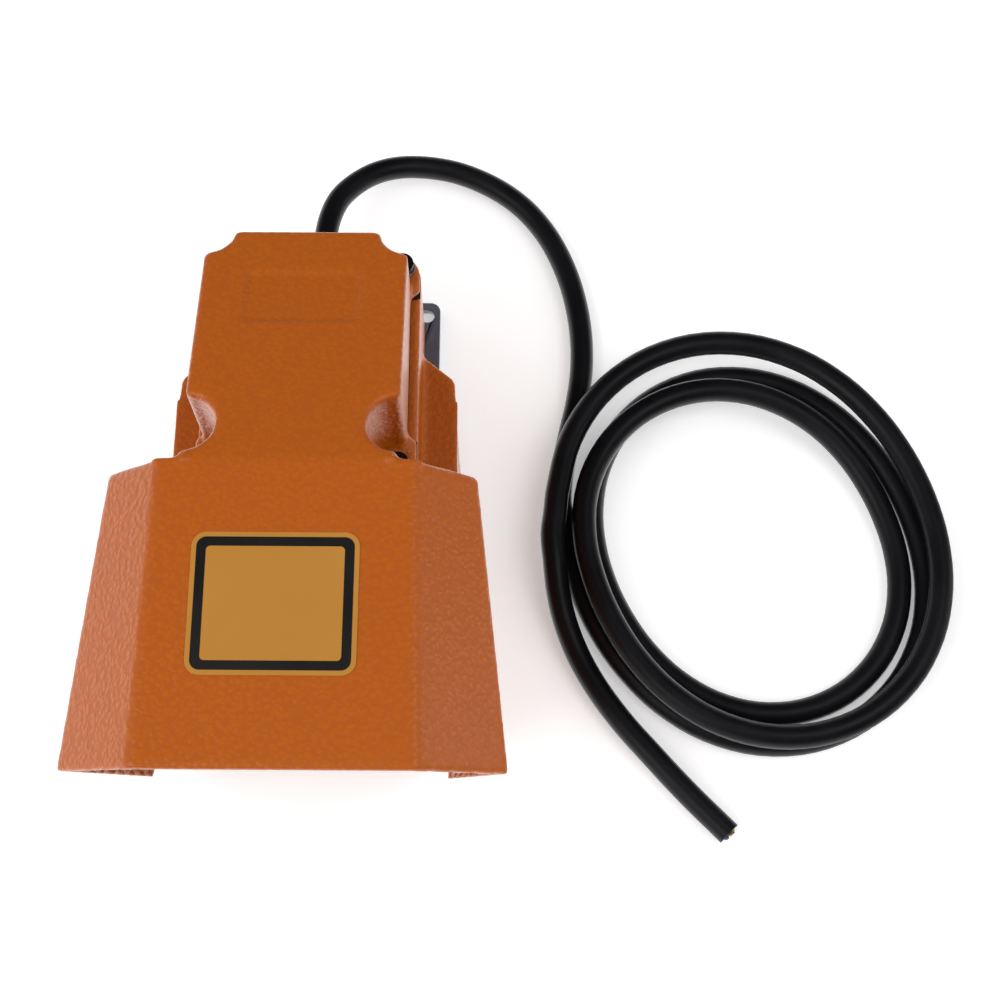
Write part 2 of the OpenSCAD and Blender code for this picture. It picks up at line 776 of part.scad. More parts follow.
// Screw with a round head and a hexagon socket, its head's seat at height z
module socket_screw(p, z, r, head_r, head_h, grip) {
    difference() {
        union() {
            rod_z(z, z + head_h, p.x, p.y, head_r);
            rod_z(z - grip, z + head_h / 2, p.x, p.y, r);
        }
        rod_z(z + head_h / 3, z + head_h + cut, p.x, p.y, head_r / 2, 6);
    }
}
module casing_washers() {
    color("#b4b4b2")
    for (p = casing_screw_places)
        difference() {
            rod_z(ear_top_z, ear_top_z + washer_t, p.x, p.y, casing_head_r + washer_t / 2);
            rod_z(ear_top_z - cut, ear_top_z + washer_t + cut, p.x, p.y, casing_screw_r + gap);
        }
}
module plate_screws() {
    color("#9a9a98")
    for (p = plate_screw_places) {
        translate([p.x, p.y, foot_h])
            cylinder(plate_screw_head_r - plate_screw_r, r1 = plate_screw_head_r, r2 = plate_screw_r);
        rod_z(foot_h, seat_z + plate_screw_grip - tip_gap, p.x, p.y, plate_screw_r);
    }
}

module pedal() {
    skirt_bend_y = tread_front_y + tread_len / 3;
    color("#2a2b2d")
    difference() {
        union() {
            // Tread with its turned-down nose
            across(tread_half_w)
                polygon([
                    [tread_front_y, tread_z(tread_front_y)], [tread_rear_y, tread_z(tread_rear_y)],
                    [tread_rear_y, tread_z(tread_rear_y) - tread_drop],
                    [tread_front_y + tread_t, tread_z(tread_front_y + tread_t) - tread_drop],
                    [tread_front_y + tread_t, tread_z(tread_front_y) - nose_h - tread_drop],
                    [tread_front_y, tread_z(tread_front_y) - nose_h - tread_drop]
                ]);
            // Side skirts
            for (s = [-1, 1])
                translate([s * (tread_half_w - skirt_t / 2), 0, 0])
                    across(skirt_t / 2)
                        polygon([
                            [tread_front_y, tread_z(tread_front_y) - skirt_drop],
                            [tread_rear_y, tread_z(tread_rear_y) - skirt_drop],
                            [tread_rear_y, tread_z(tread_rear_y) - tread_drop - skirt_drop],
                            [skirt_bend_y, tread_z(skirt_bend_y) - skirt_h],
                            [tread_front_y, tread_z(tread_front_y) - skirt_h]
                        ]);
            // Neck from the tread to the hub
            across(tunnel_half_w - 2 * gap)
                polygon([
                    [tread_rear_y - tread_t, tread_z(tread_rear_y - tread_t) - neck_drop],
                    [tread_rear_y, tread_z(tread_rear_y)], [pivot_y, pivot_z + hub_r], [pivot_y, pivot_z],
                    [tread_rear_y, tread_z(tread_rear_y) - tread_drop - neck_drop],
                    [tread_rear_y - tread_t, tread_z(tread_rear_y - tread_t) - tread_drop]
                ]);
            rod_x(2 * gap - tunnel_half_w, tunnel_half_w - 2 * gap, pivot_y, pivot_z, hub_r);
            slab(arm_half_w, pivot_y, arm_end_y, arm_z, arm_z + arm_t);
        }
        rod_x(-tunnel_half_w - cut, tunnel_half_w + cut, pivot_y, pivot_z, shaft_r + snug);
        rod_z(arm_z - cut, arm_z + arm_t + cut, 0, plunger_y, adjuster_r + snug);
    }
}

// Ribbed rubber mat on the tread
module pedal_pads() {
    y0 = tread_front_y + pad_margin;
    color("#161617")
    across(tread_half_w - pad_margin)
        polygon(concat(
            [
                for (i = [0 : pad_rib_count - 1], e = [[0, 0], [0, 1], [1, 1], [1, 0]])
                    let (y = y0 + i * pad_rib_pitch + e.x * pad_rib_w)
                    [y, tread_z(y) + pad_t + e.y * pad_rib_h]
            ],
            [for (y = [y0 + pad_rib_count * pad_rib_pitch, y0]) [y, tread_z(y)]]
        ));
}

module pivot_shaft() {
    color("#b9bbbd")
    rod_x(shaft_inset - wing_half_w, wing_half_w - shaft_inset, pivot_y, pivot_z, shaft_r);
}
module shaft_set_screws() {
    color("#8d8f91")
    for (s = [-1, 1])
        rod_z(seat_z - gap, pivot_z - shaft_r - snug, s * set_screw_x, pivot_y, set_screw_r);
}

// Points of the return spring: a straight foot, the curls and a straight end
function spring_angle(i) = 360 * i / spring_rings;
function spring_point(i) =
    let (
        a = spring_angle(i),
        n = spring_curls * spring_rings,
        low = spring_foot_z + spring_wire_d,
        high = spring_top_z - spring_wire_d
    )
    [spring_r * cos(a), spring_y + spring_r * sin(a), low + (high - low) * i / n];
spring_last = spring_curls * spring_rings;
spring_path = concat(
    [[spring_r, spring_y, spring_foot_z]],
    [for (i = [0 : spring_last]) spring_point(i)],
    [[spring_point(spring_last).x, spring_point(spring_last).y, spring_top_z]]
);
spring_refs = concat(
    [[1, 0, 0]],
    [for (i = [0 : spring_last]) [cos(spring_angle(i)), sin(spring_angle(i)), 0]],
    [[cos(spring_angle(spring_last)), sin(spring_angle(spring_last)), 0]]
);
module return_spring() {
    color("#a8aaac") tube(spring_path, spring_refs, spring_wire_d / 2, spring_sides);
}

module rest_buffer() {
    color("#1c1c1d")
    rod_z(floor_z, arm_z - gap, 0, (pivot_y + hub_r + plunger_y) / 2, arm_half_w / 2);
}
module adjusting_screw() {
    color("#a5a7a9") {
        rod_z(adjuster_top_z - adjuster_head_h, adjuster_top_z, 0, plunger_y, adjuster_head_r, 6);
        rod_z(arm_z - adjuster_tail, adjuster_top_z - cut, 0, plunger_y, adjuster_r);
    }
}
module adjusting_locknut() {
    color("#a5a7a9")
    difference() {
        rod_z(arm_z + arm_t, arm_z + arm_t + locknut_h, 0, plunger_y, adjuster_head_r, 6);
        rod_z(arm_z, adjuster_top_z, 0, plunger_y, adjuster_r + snug);
    }
}

// Parts of the contact block that the pedal lifts
module plunger() {
    color("#d9d6cc") {
        rod_z(plunger_z, plunger_top_z, 0, plunger_y, plunger_r);
        rod_z(bridge_z - carrier_h, bridge_z, 0, plunger_y, carrier_r);
    }
}
module plunger_bush() {
    color("#c2a14b")
    difference() {
        union() {
            rod_z(slab_z, slab_top_z, 0, plunger_y, bush_r);
            rod_z(slab_z - bush_flange_t, slab_z, 0, plunger_y, bush_flange_r);
        }
        rod_z(slab_z - bush_flange_t - cut, slab_top_z + cut, 0, plunger_y, plunger_r + snug);
    }
}
module plunger_boot() {
    high = slab_z - bush_flange_t;
    color("#1c1c1d")
    translate([0, plunger_y, boot_low_z])
        difference() {
            cylinder(high - boot_low_z, r1 = plunger_r + boot_t + snug, r2 = boot_top_r - boot_t);
            translate([0, 0, boot_t])
                cylinder(high - boot_low_z, r1 = plunger_r + 2 * snug, r2 = boot_top_r - 2 * boot_t);
            translate([0, 0, -cut]) cylinder(high, r = plunger_r + snug);
        }
}
module plunger_spring() {
    color("#a8aaac")
    difference() {
        rod_z(bridge_z + bridge_t + gap, block_top_z - gap, 0, plunger_y, plunger_spring_r);
        rod_z(bridge_z, block_top_z, 0, plunger_y, plunger_spring_r - plunger_spring_t);
    }
}
module contact_bridge() {
    low = bridge_z - contact_t;
    high = bridge_z + bridge_t + contact_t;
    color("#b87b4a")
    difference() {
        union() {
            translate([0, plunger_y, 0])
                slab(bridge_half_w, -bridge_half_len, bridge_half_len, bridge_z, bridge_z + bridge_t);
            for (s = [-1, 1])
                rod_z(low, high, s * contact_x, plunger_y, contact_r);
        }
        rod_z(bridge_z - cut, bridge_z + bridge_t + cut, 0, plunger_y, plunger_r + snug);
    }
}

// Fixed parts of the contact block
module strip_slots(grow) {
    for (x = [-strip_outer_x, strip_inner_x], z = [rest_strip_z, work_strip_z])
        translate([x, plunger_y - strip_half_len - grow, z - grow])
            cube([strip_outer_x - strip_inner_x, 2 * (strip_half_len + grow), strip_t + 2 * grow]);
}
module switch_body() {
    color("#2b2b2e")
    difference() {
        translate([0, plunger_y, 0])
            slab(block_half_w, -block_half_len, block_half_len, block_z, block_top_z - block_cover_t);
        translate([0, plunger_y, 0])
            slab(block_half_w - 2 * block_wall, block_wall - block_half_len, block_half_len - block_wall,
                block_z + block_wall, block_top_z);
        rod_z(block_z - cut, block_z + block_wall + cut, 0, plunger_y, plunger_r + gap);
        strip_slots(snug);
        block_screw_holes(block_z - cut, block_top_z);
    }
}
module block_screw_holes(z0, z1) {
    for (s = [-1, 1])
        rod_z(z0, z1, s * block_screw_x, plunger_y + block_screw_y, small_screw_r + snug);
}
module switch_cover() {
    color("#3b3b40")
    difference() {
        translate([0, plunger_y, 0])
            slab(block_half_w, -block_half_len, block_half_len, block_top_z - block_cover_t, block_top_z);
        rod_z(0, block_top_z + cut, 0, plunger_y, plunger_spring_r + gap);
        block_screw_holes(block_z, block_top_z + cut);
    }
    color("#3b3b40")
    rod_z(block_top_z, block_top_z + spring_cap_t, 0, plunger_y, plunger_spring_r + block_wall);
}
module switch_bracket() {
    color("#c0c2c4")
    difference() {
        translate([0, plunger_y, 0])
            slab(bracket_half_w, -bracket_half_len, bracket_half_len, slab_top_z, slab_top_z + bracket_t);
        rod_z(slab_z, block_z + cut, 0, plunger_y, plunger_r + 2 * gap);
        for (s = [-1, 1])
            rod_z(slab_z, block_z + cut, s * bracket_screw_x, plunger_y, small_screw_r + gap);
        block_screw_holes(slab_z, block_z + cut);
    }
}
module switch_screws() {
    color("#9a9a98")
    for (s = [-1, 1])
        socket_screw([s * block_screw_x, plunger_y + block_screw_y], block_top_z, small_screw_r,
            small_head_r, small_head_h, block_h + bracket_t - gap);
}
module bracket_screws() {
    color("#9a9a98")
    for (s = [-1, 1])
        socket_screw([s * bracket_screw_x, plunger_y], block_z, small_screw_r, small_head_r, small_head_h,
            bracket_t + bracket_screw_grip);
}
module fixed_contacts() {
    color("#b87b4a") {
        difference() {
            strip_slots(0);
            terminal_holes();
        }
        for (s = [-1, 1]) {
            rod_z(rest_strip_z, rest_strip_z + strip_t + contact_t, s * contact_x, plunger_y, contact_r);
            rod_z(work_strip_z - contact_t, work_strip_z + strip_t, s * contact_x, plunger_y, contact_r);
        }
    }
}
module terminal_holes() {
    for (s = [-1, 1], z = [rest_strip_z, work_strip_z])
        rod_z(z - cut, z + strip_t + cut, s * terminal_x, plunger_y, small_screw_r + snug);
}
module terminal_screws() {
    color("#c2a14b")
    for (s = [-1, 1], z = [rest_strip_z, work_strip_z])
        socket_screw([s * terminal_x, plunger_y], z + strip_t, small_screw_r, small_head_r, small_head_h,
            2 * strip_t);
}
module earth_screw() {
    color("#c2a14b")
    socket_screw([earth_x, earth_y], floor_z + earth_boss_h, small_screw_r, small_head_r, small_head_h,
        earth_boss_h - tip_gap);
}

// Tube along a route, with rings that begin on their upper side
module route_tube(route, r, sides) {
    tube(route, [for (p = route) [0, 0, 1]], r, sides);
}
// Core from its bends in the base to the end of a strip of the contact block on side s
module strip_core(places, s) {
    tip = [s * core_end_x, plunger_y, core_end_z];
    route = concat([for (p = places) in_base(p)], [tip + core_bend, tip + core_tip]);
    route_tube(route, wire_r, cord_sides);
}
module wire_brown() {
    color("#6b3d1e") strip_core(brown_in_base, -1);
}
module wire_blue() {
    color("#2c5f9e") strip_core(blue_in_base, 1);
}
module wire_earth() {
    route = concat([for (p = earth_in_base) in_base(p)], [earth_tip]);
    color("#8fae2c") route_tube(route, wire_r, cord_sides);
}

module gland_body() {
    color("#26272a")
    difference() {
        union() {
            rod_y(base_rear_y - gland_thread_len, base_rear_y + cut, 0, gland_z, gland_thread_r);
            rod_y(base_rear_y, gland_hex_y, 0, gland_z, gland_hex_r, 6);
            rod_y(gland_hex_y - cut, gland_hex_y + gland_neck_len, 0, gland_z, gland_neck_r);
        }
        rod_y(base_rear_y - gland_thread_len - cut, gland_end_y, 0, gland_z, gland_bore_r);
    }
}
module gland_seal() {
    color("#3a3a3c")
    difference() {
        rod_y(base_rear_y + gap, gland_end_y - gland_dome_len / 2, 0, gland_z, gland_bore_r - snug);
        rod_y(base_rear_y, gland_end_y, 0, gland_z, cord_r + snug);
    }
}
module gland_nut() {
    color("#202124")
    difference() {
        union() {
            rod_y(gland_hex_y, gland_hex_y + gland_nut_len, 0, gland_z, gland_hex_r, 6);
            translate([0, gland_end_y, gland_z])
                rotate([90, 0, 0])
                    cylinder(gland_dome_len, r1 = gland_dome_r, r2 = gland_flat_r);
        }
        rod_y(gland_hex_y - cut, gland_hex_y + gland_neck_len + gap, 0, gland_z, gland_neck_r + snug);
        rod_y(gland_hex_y, gland_end_y - gland_dome_len / 2, 0, gland_z, gland_bore_r);
        rod_y(gland_hex_y, gland_end_y + cut, 0, gland_z, cord_r + 2 * snug);
    }
}

module label_panel() {
    y0 = label_front_gap - half_length;
    color("#c88c33")
    translate([label_x, 0, hood_top_z])
        linear_extrude(label_t)
            plan_plate(label_w / 2, y0, y0 + label_len, label_corner_r, label_corner_r);
}

// Coil: the loops spiral in on the floor, climb in half a turn and spiral out again on top
function smooth_step(t) = let (c = min(max(t, 0), 1)) c * c * (3 - 2 * c);
function coil_u(angle) = (angle - coil_from) / 360;
function coil_climbed(u) = (u - coil_turn_in) / coil_climb;
function coil_mean_r(u) =
    let (
        inwards = coil_start_r - coil_pitch * u,
        outwards = coil_start_r + coil_step_out + coil_pitch * (u - 2 * coil_turn_in - coil_climb),
        turned = smooth_step((coil_climbed(u) - coil_turn_share) / (1 - coil_turn_share))
    )
    inwards + (outwards - inwards) * turned;
function coil_z(u) = cord_lie_z + coil_layer * smooth_step(coil_climbed(u) / coil_lift_share);
function coil_point(angle) =
    let (r = coil_mean_r(coil_u(angle)) * (1 + coil_oval_share * cos(2 * (angle - coil_oval_angle))))
    [coil_x + r * cos(angle), coil_y + r * sin(angle), coil_z(coil_u(angle))];
coil_loops = [for (a = [coil_from : 360 / coil_rings : coil_to]) coil_point(a)];
coil_last = len(coil_loops) - 1;
// Its straight ends, as long as the cord is thick. The free stretches begin in line with them
start_step = cord_d * unit(coil_point(coil_from) - coil_point(coil_from + 1));
end_step = cord_d * unit(coil_point(coil_to) - coil_point(coil_to - 1));
coil_start = coil_loops[0] + start_step;
coil_end = coil_loops[coil_last] + end_step;
coil_path = concat([coil_start], coil_loops, [coil_end]);
lead_path = concat(
    [for (setback = lead_in_gland) [0, base_rear_y - setback, gland_z]],
    [for (p = lead_on_floor) on_floor(p)],
    [coil_start + start_step, coil_start]
);
tail_path = concat([coil_end, coil_end + end_step], [for (p = tail_on_floor) on_floor(p)]);
module cord_coil() {
    color("#17181a") route_tube(coil_path, cord_r, coil_sides);
}
module cord_lead() {
    color("#17181a") route_tube(lead_path, cord_r, cord_sides);
}
module cord_tail() {
    color("#17181a") route_tube(tail_path, cord_r, cord_sides);
}

// Least gaps of the coil and of the spring to themselves, measured between their points
coil_gap = min([
    for (i = [0 : coil_last], j = [0 : coil_last])
        if (j - i > coil_rings / 2) norm(coil_loops[i] - coil_loops[j])
]) - cord_d;
spring_gap = min([
    for (i = [0 : spring_last], j = [0 : spring_last])
        if (j - i > spring_rings / 2) norm(spring_point(i) - spring_point(j))
]) - spring_wire_d;
echo(coil_gap = coil_gap, spring_gap = spring_gap);

upper_casting();
lower_casting();
base_plate();
rubber_feet();
chamber_gasket();
casing_screws();
casing_washers();
plate_screws();
pedal();
pedal_pads();
pivot_shaft();
shaft_set_screws();
return_spring();
rest_buffer();
adjusting_screw();
adjusting_locknut();
plunger();
plunger_bush();
plunger_boot();
plunger_spring();
contact_bridge();
switch_body();
switch_cover();
switch_bracket();
switch_screws();
bracket_screws();
fixed_contacts();
terminal_screws();
earth_screw();
wire_brown();
wire_blue();
wire_earth();
gland_body();
gland_seal();
gland_nut();
label_panel();
cord_lead();
cord_coil();
cord_tail();
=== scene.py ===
# %% [markdown]
# A guarded foot switch. A hinged pedal sits under a cast hood, so that nothing which falls can
# press it, and the contacts are shut in the sealed chamber behind. This lesson dresses the solid
# parts of the switch: it softens the castings, lays the cord and gives each surface its finish.

# %% Load the solid parts
import math

import bmesh
import bpy
from mathutils import Matrix, Vector
from mathutils.geometry import interpolate_bezier


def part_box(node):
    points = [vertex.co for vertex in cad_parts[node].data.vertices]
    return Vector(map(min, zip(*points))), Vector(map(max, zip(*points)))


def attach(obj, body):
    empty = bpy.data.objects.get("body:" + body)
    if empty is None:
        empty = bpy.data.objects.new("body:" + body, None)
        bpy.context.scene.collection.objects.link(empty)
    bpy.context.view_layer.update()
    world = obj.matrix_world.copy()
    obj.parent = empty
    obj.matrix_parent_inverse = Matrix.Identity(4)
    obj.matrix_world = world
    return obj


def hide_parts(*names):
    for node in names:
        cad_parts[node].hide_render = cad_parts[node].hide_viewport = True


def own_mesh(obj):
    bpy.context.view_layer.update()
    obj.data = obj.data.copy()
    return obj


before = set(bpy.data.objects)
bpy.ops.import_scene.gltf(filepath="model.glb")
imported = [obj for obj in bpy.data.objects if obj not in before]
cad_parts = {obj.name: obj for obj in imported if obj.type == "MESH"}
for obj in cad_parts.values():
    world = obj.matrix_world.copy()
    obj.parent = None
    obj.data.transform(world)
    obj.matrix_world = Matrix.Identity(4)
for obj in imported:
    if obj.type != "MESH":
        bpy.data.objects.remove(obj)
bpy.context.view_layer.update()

MM = 0.001
HOUSING = "housing"


def linear(hex_colour):
    """Linear RGBA of an sRGB hex colour such as 'B05A20'."""
    channels = [int(hex_colour[i : i + 2], 16) / 255 for i in (0, 2, 4)]
    curve = [c / 12.92 if c <= 0.04045 else ((c + 0.055) / 1.055) ** 2.4 for c in channels]
    return (*curve, 1.0)


def add(tree, kind, settings=None, inputs=None):
    """Adds a node, sets its options, and gives each input a value or a link from another node."""
    made = tree.nodes.new(kind)
    for name, value in (settings or {}).items():
        setattr(made, name, value)
    for name, value in (inputs or {}).items():
        socket = made.inputs[name]
        if isinstance(value, bpy.types.NodeSocket):
            tree.links.new(value, socket)
        else:
            socket.default_value = value
    return made


# %% [markdown]
# The camera comes first. It looks down on the switch from the front, a little over seventy
# degrees below the horizon, through a lens somewhat longer than normal. Its place and angles
# were fitted to the corners of the hood and of the chamber.

# %% Camera
CAMERA_PLACE = (0.0729, -0.2291, 0.7092)
CAMERA_PITCH = math.radians(70.32)
CAMERA_YAW = math.radians(-0.20)
CAMERA_ROLL = math.radians(0.19)
FOCAL_PIXELS = 1884
IMAGE_PIXELS = 1000
SENSOR_MM = 36

camera_data = bpy.data.cameras.new("photo_camera")
camera_data.sensor_width = SENSOR_MM
camera_data.lens = SENSOR_MM * FOCAL_PIXELS / IMAGE_PIXELS
camera_data.clip_start = 0.01
camera = bpy.data.objects.new("photo_camera", camera_data)
camera.matrix_world = (
    Matrix.Translation(CAMERA_PLACE)
    @ Matrix.Rotation(-CAMERA_YAW, 4, "Z")
    @ Matrix.Rotation(math.pi / 2 - CAMERA_PITCH, 4, "X")
    @ Matrix.Rotation(CAMERA_ROLL, 4, "Z")
)
bpy.context.collection.objects.link(camera)
bpy.context.scene.camera = camera
print("lens", round(camera_data.lens, 1), "mm")

# %% [markdown]
# The cord is one fixed length of black sheathed cable. It leaves the gland, bends down to the
# floor, runs forward beside the switch, goes round the coil in an inward and then an outward
# spiral on top of it, and ends cut off. Its line repeats the route of the solid cord, and a
# smooth curve through those points carries a round section.

# %% Cord route
CORD_R = 4.7 * MM
LIE_Z = 4.8
LEAD = [
    (0, 99, 20), (0, 112, 20), (0, 125, 20), (0, 130, 20), (1.5, 140, 19.5), (5, 149.5, 18.5),
    (11.5, 157.5, 17), (19.5, 164, 14.5), (29, 168, 12), (40, 169.5, 9.5), (52, 168.5, 7.5),
    (63, 165, 6), (72.5, 160, 5), (80.5, 153.5, 4.8), (87, 146, 4.8), (92.5, 137.5, 4.8),
    (97, 128, 4.8), (100.5, 118, 4.8), (103, 107.5, 4.8), (104.5, 97, 4.8), (105, 86, 4.8),
    (104.4, 75, 4.8), (102.7, 64, 4.8), (100.3, 53, 4.8), (98, 42, 4.8), (96.5, 31.8, 4.8),
]
TAIL = [
    (93.4, -5, 14), (94.5, -15, 11.5), (96.5, -24.5, 8.5), (99.5, -33.5, 6.5),
    (103.5, -42.5, 5.2), (108.5, -51.5, 4.8), (114.5, -60.5, 4.8), (121.5, -69.5, 4.8),
    (129.5, -78.5, 4.8), (137.5, -87.5, 4.8), (146, -96.5, 4.8), (155, -105.5, 4.8), (158.5, -109, 4.8),
]
COIL_CENTRE = (171, 3.5)
COIL_OVAL, COIL_OVAL_ANGLE = 0.09, 114
COIL_START_R, COIL_PITCH, COIL_STEP_OUT = 76.5, 11, 10
COIL_TURN_IN, COIL_CLIMB, COIL_LAYER = 1.5, 0.5, 10
COIL_LIFT_SHARE, COIL_TURN_SHARE = 0.6, 0.35
COIL_FROM, COIL_TO, COIL_STEP = 180, 1245, 15


def smooth_step(t):
    """Zero before 0, one after 1, and an even S between them."""
    t = min(max(t, 0), 1)
    return t * t * (3 - 2 * t)


def coil_point(angle):
    """Centreline of the coil at an angle that counts on over the turns, in millimetres."""
    turns = (angle - COIL_FROM) / 360
    climbed = (turns - COIL_TURN_IN) / COIL_CLIMB
    inwards = COIL_START_R - COIL_PITCH * turns
    outwards = COIL_START_R + COIL_STEP_OUT + COIL_PITCH * (turns - 2 * COIL_TURN_IN - COIL_CLIMB)
    turned = smooth_step((climbed - COIL_TURN_SHARE) / (1 - COIL_TURN_SHARE))
    r = inwards + (outwards - inwards) * turned
    r *= 1 + COIL_OVAL * math.cos(math.radians(2 * (angle - COIL_OVAL_ANGLE)))
    turn = math.radians(angle)
    z = LIE_Z + COIL_LAYER * smooth_step(climbed / COIL_LIFT_SHARE)
    return (COIL_CENTRE[0] + r * math.cos(turn), COIL_CENTRE[1] + r * math.sin(turn), z)


coil = [Vector(coil_point(a)) for a in range(COIL_FROM, COIL_TO + 1, COIL_STEP)]
start_step = (coil[0] - Vector(coil_point(COIL_FROM + 1))).normalized() * CORD_R * 2 / MM
end_step = (coil[-1] - Vector(coil_point(COIL_TO - 1))).normalized() * CORD_R * 2 / MM
coil_in = [coil[0] + 2 * start_step, coil[0] + start_step]
coil_out = [coil[-1] + end_step, coil[-1] + 2 * end_step]
coil = coil_in + coil + coil_out
route = [Vector(p) * MM for p in LEAD + coil + TAIL]


RUNS_PER_POINT = 4


def through(points, steps):
    """Smooth line through the points, with that many short runs between each two of them."""
    ends = [2 * points[0] - points[1]] + points + [2 * points[-1] - points[-2]]
    line = []
    for before, a, b, after in zip(ends, ends[1:], ends[2:], ends[3:]):
        reach = (b - a).length / 3
        out_of_a = (b - before).normalized() * reach
        into_b = (after - a).normalized() * reach
        line += interpolate_bezier(a, a + out_of_a, b - into_b, b, steps + 1)[:-1]
    return line + [points[-1]]


cord_line = through(route, RUNS_PER_POINT)

# %% [markdown]
# A curve with a round bevel is the simplest tube: it keeps one thickness along any line. The same
# helper makes the springs' wire further on.

# %% Cord
CORD_BEVEL_STEPS = 6


def round_wire(name, places, radius, bevel_steps):
    """Curve object that carries a round section through the places, with closed ends."""
    curve = bpy.data.curves.new(name, "CURVE")
    curve.dimensions = "3D"
    curve.bevel_depth = radius
    curve.bevel_resolution = bevel_steps
    curve.use_fill_caps = True
    line = curve.splines.new("POLY")
    line.points.add(len(places) - 1)
    for point, place in zip(line.points, places):
        point.co = (*place, 1)
    line.use_smooth = True
    made = bpy.data.objects.new(name, curve)
    bpy.context.collection.objects.link(made)
    return made


cord = round_wire("sheathed_cord", cord_line, CORD_R, CORD_BEVEL_STEPS)

# %% [markdown]
# The light is that of a picture for a catalogue, on a white sheet. The surround is white to the
# camera. To matt surfaces it gives soft light, more from both sides, so that it reaches the wings
# under the hood's flanks. In glossy surfaces its mirror image is dim above, behind and on the
# right, so the flat lid keeps its full colour and only the left flank turns pale.

# %% Surround
CEILING_SHEEN = 0.05
RIGHT_SHEEN = 0.12
BACK_SHEEN = 0.1
LIGHT_FROM_FRONT, LIGHT_FROM_SIDES = 0.40, 1.34
CEILING_FADE_Z = (0.02, 0.45)
RIGHT_FADE_X = (-0.4, 0.4)
BACK_FADE_Y = (0.0, 0.8)
SIDE_FADE_X = (0.15, 0.95)

scene = bpy.context.scene
scene.view_settings.view_transform = "Standard"

world = bpy.data.worlds.new("white_surround")
world.use_nodes = True
scene.world = world
tree = world.node_tree
tree.nodes.clear()
rays = add(tree, "ShaderNodeLightPath")
seen = add(tree, "ShaderNodeMath", {"operation": "MAXIMUM"},
           {0: rays.outputs["Is Camera Ray"], 1: rays.outputs["Is Transmission Ray"]})
facing = add(tree, "ShaderNodeTexCoord")
parts = add(tree, "ShaderNodeSeparateXYZ", None, {"Vector": facing.outputs["Generated"]})
ceiling = add(tree, "ShaderNodeMapRange", {"interpolation_type": "SMOOTHSTEP"},
              {"Value": parts.outputs["Z"], "From Min": CEILING_FADE_Z[0], "From Max": CEILING_FADE_Z[1],
               "To Min": 1.0, "To Max": CEILING_SHEEN})
left = add(tree, "ShaderNodeMapRange", {"interpolation_type": "SMOOTHSTEP"},
           {"Value": parts.outputs["X"], "From Min": RIGHT_FADE_X[0], "From Max": RIGHT_FADE_X[1],
            "To Min": 1.0, "To Max": RIGHT_SHEEN})
sides = add(tree, "ShaderNodeMath", {"operation": "MULTIPLY"},
            {0: ceiling.outputs[0], 1: left.outputs[0]})
behind = add(tree, "ShaderNodeMapRange", {"interpolation_type": "SMOOTHSTEP"},
             {"Value": parts.outputs["Y"], "From Min": BACK_FADE_Y[0], "From Max": BACK_FADE_Y[1],
              "To Min": 1.0, "To Max": BACK_SHEEN})
sides = add(tree, "ShaderNodeMath", {"operation": "MULTIPLY"},
            {0: sides.outputs[0], 1: behind.outputs[0]})
mirrored = add(tree, "ShaderNodeBackground", None,
               {"Color": (1, 1, 1, 1), "Strength": sides.outputs[0]})
aside = add(tree, "ShaderNodeMath", {"operation": "ABSOLUTE"}, {0: parts.outputs["X"]})
soft = add(tree, "ShaderNodeMapRange", {"interpolation_type": "SMOOTHSTEP"},
           {"Value": aside.outputs[0], "From Min": SIDE_FADE_X[0], "From Max": SIDE_FADE_X[1],
            "To Min": LIGHT_FROM_FRONT, "To Max": LIGHT_FROM_SIDES})
plain = add(tree, "ShaderNodeBackground", None,
            {"Color": (1, 1, 1, 1), "Strength": soft.outputs[0]})
white = add(tree, "ShaderNodeBackground", None, {"Color": (1, 1, 1, 1), "Strength": 1.0})
studio = add(tree, "ShaderNodeMixShader", None,
             {0: rays.outputs["Is Glossy Ray"], 1: plain.outputs[0], 2: mirrored.outputs[0]})
choice = add(tree, "ShaderNodeMixShader", None,
             {0: seen.outputs[0], 1: studio.outputs[0], 2: white.outputs[0]})
add(tree, "ShaderNodeOutputWorld", None, {"Surface": choice.outputs[0]})
print("surround", len(tree.nodes), "nodes")

# %% [markdown]
# Three soft boxes add direction. The large one on the left lights the lid, a small one low on the
# right makes the coat sparkle on the front of the right flank, and one above lights the right wing.

# %% Lamps
# For each lamp: its place, the point it faces, its side in metres and its power in watts
LAMPS = {
    "lamp_left": ((-0.75, -0.55, 1.05), (0.05, 0.0, 0.05), 0.9, 8.0),
    "lamp_right": ((1.02, 0.10, 0.15), (0.06, -0.08, 0.09), 0.16, 0.6),
    "lamp_above": ((0.6, -0.1, 1.1), (0.05, 0.0, 0.03), 0.6, 2.6),
}


def soft_lamp(name, place, target, size, power):
    """Square soft box at a place, turned to face a target."""
    data = bpy.data.lights.new(name, "AREA")
    data.size = size
    data.energy = power
    lamp = bpy.data.objects.new(name, data)
    lamp.location = place
    lamp.rotation_euler = (Vector(target) - Vector(place)).to_track_quat("-Z", "Y").to_euler()
    bpy.context.collection.objects.link(lamp)


for name, settings in LAMPS.items():
    soft_lamp(name, *settings)
print("lamps", list(LAMPS))

# %% [markdown]
# The floor is matt white paint. It glows a little to the camera, so that it comes out white and
# still keeps the soft shadow. In glossy surfaces it shows as a bright sheet round the switch that
# fades to the far right and to the back, which draws the pale stripes on the upright walls.

# %% Floor
FLOOR_SIDE = 6
FLOOR_WHITE = 0.9
FLOOR_GLOW = 0.35
SHEET_SHEEN, SHEET_EDGE_SHEEN = 2.0, 0.05
SHEET_FADE_X = (0.12, 0.42)
SHEET_FADE_Y = (0.2, 0.5)

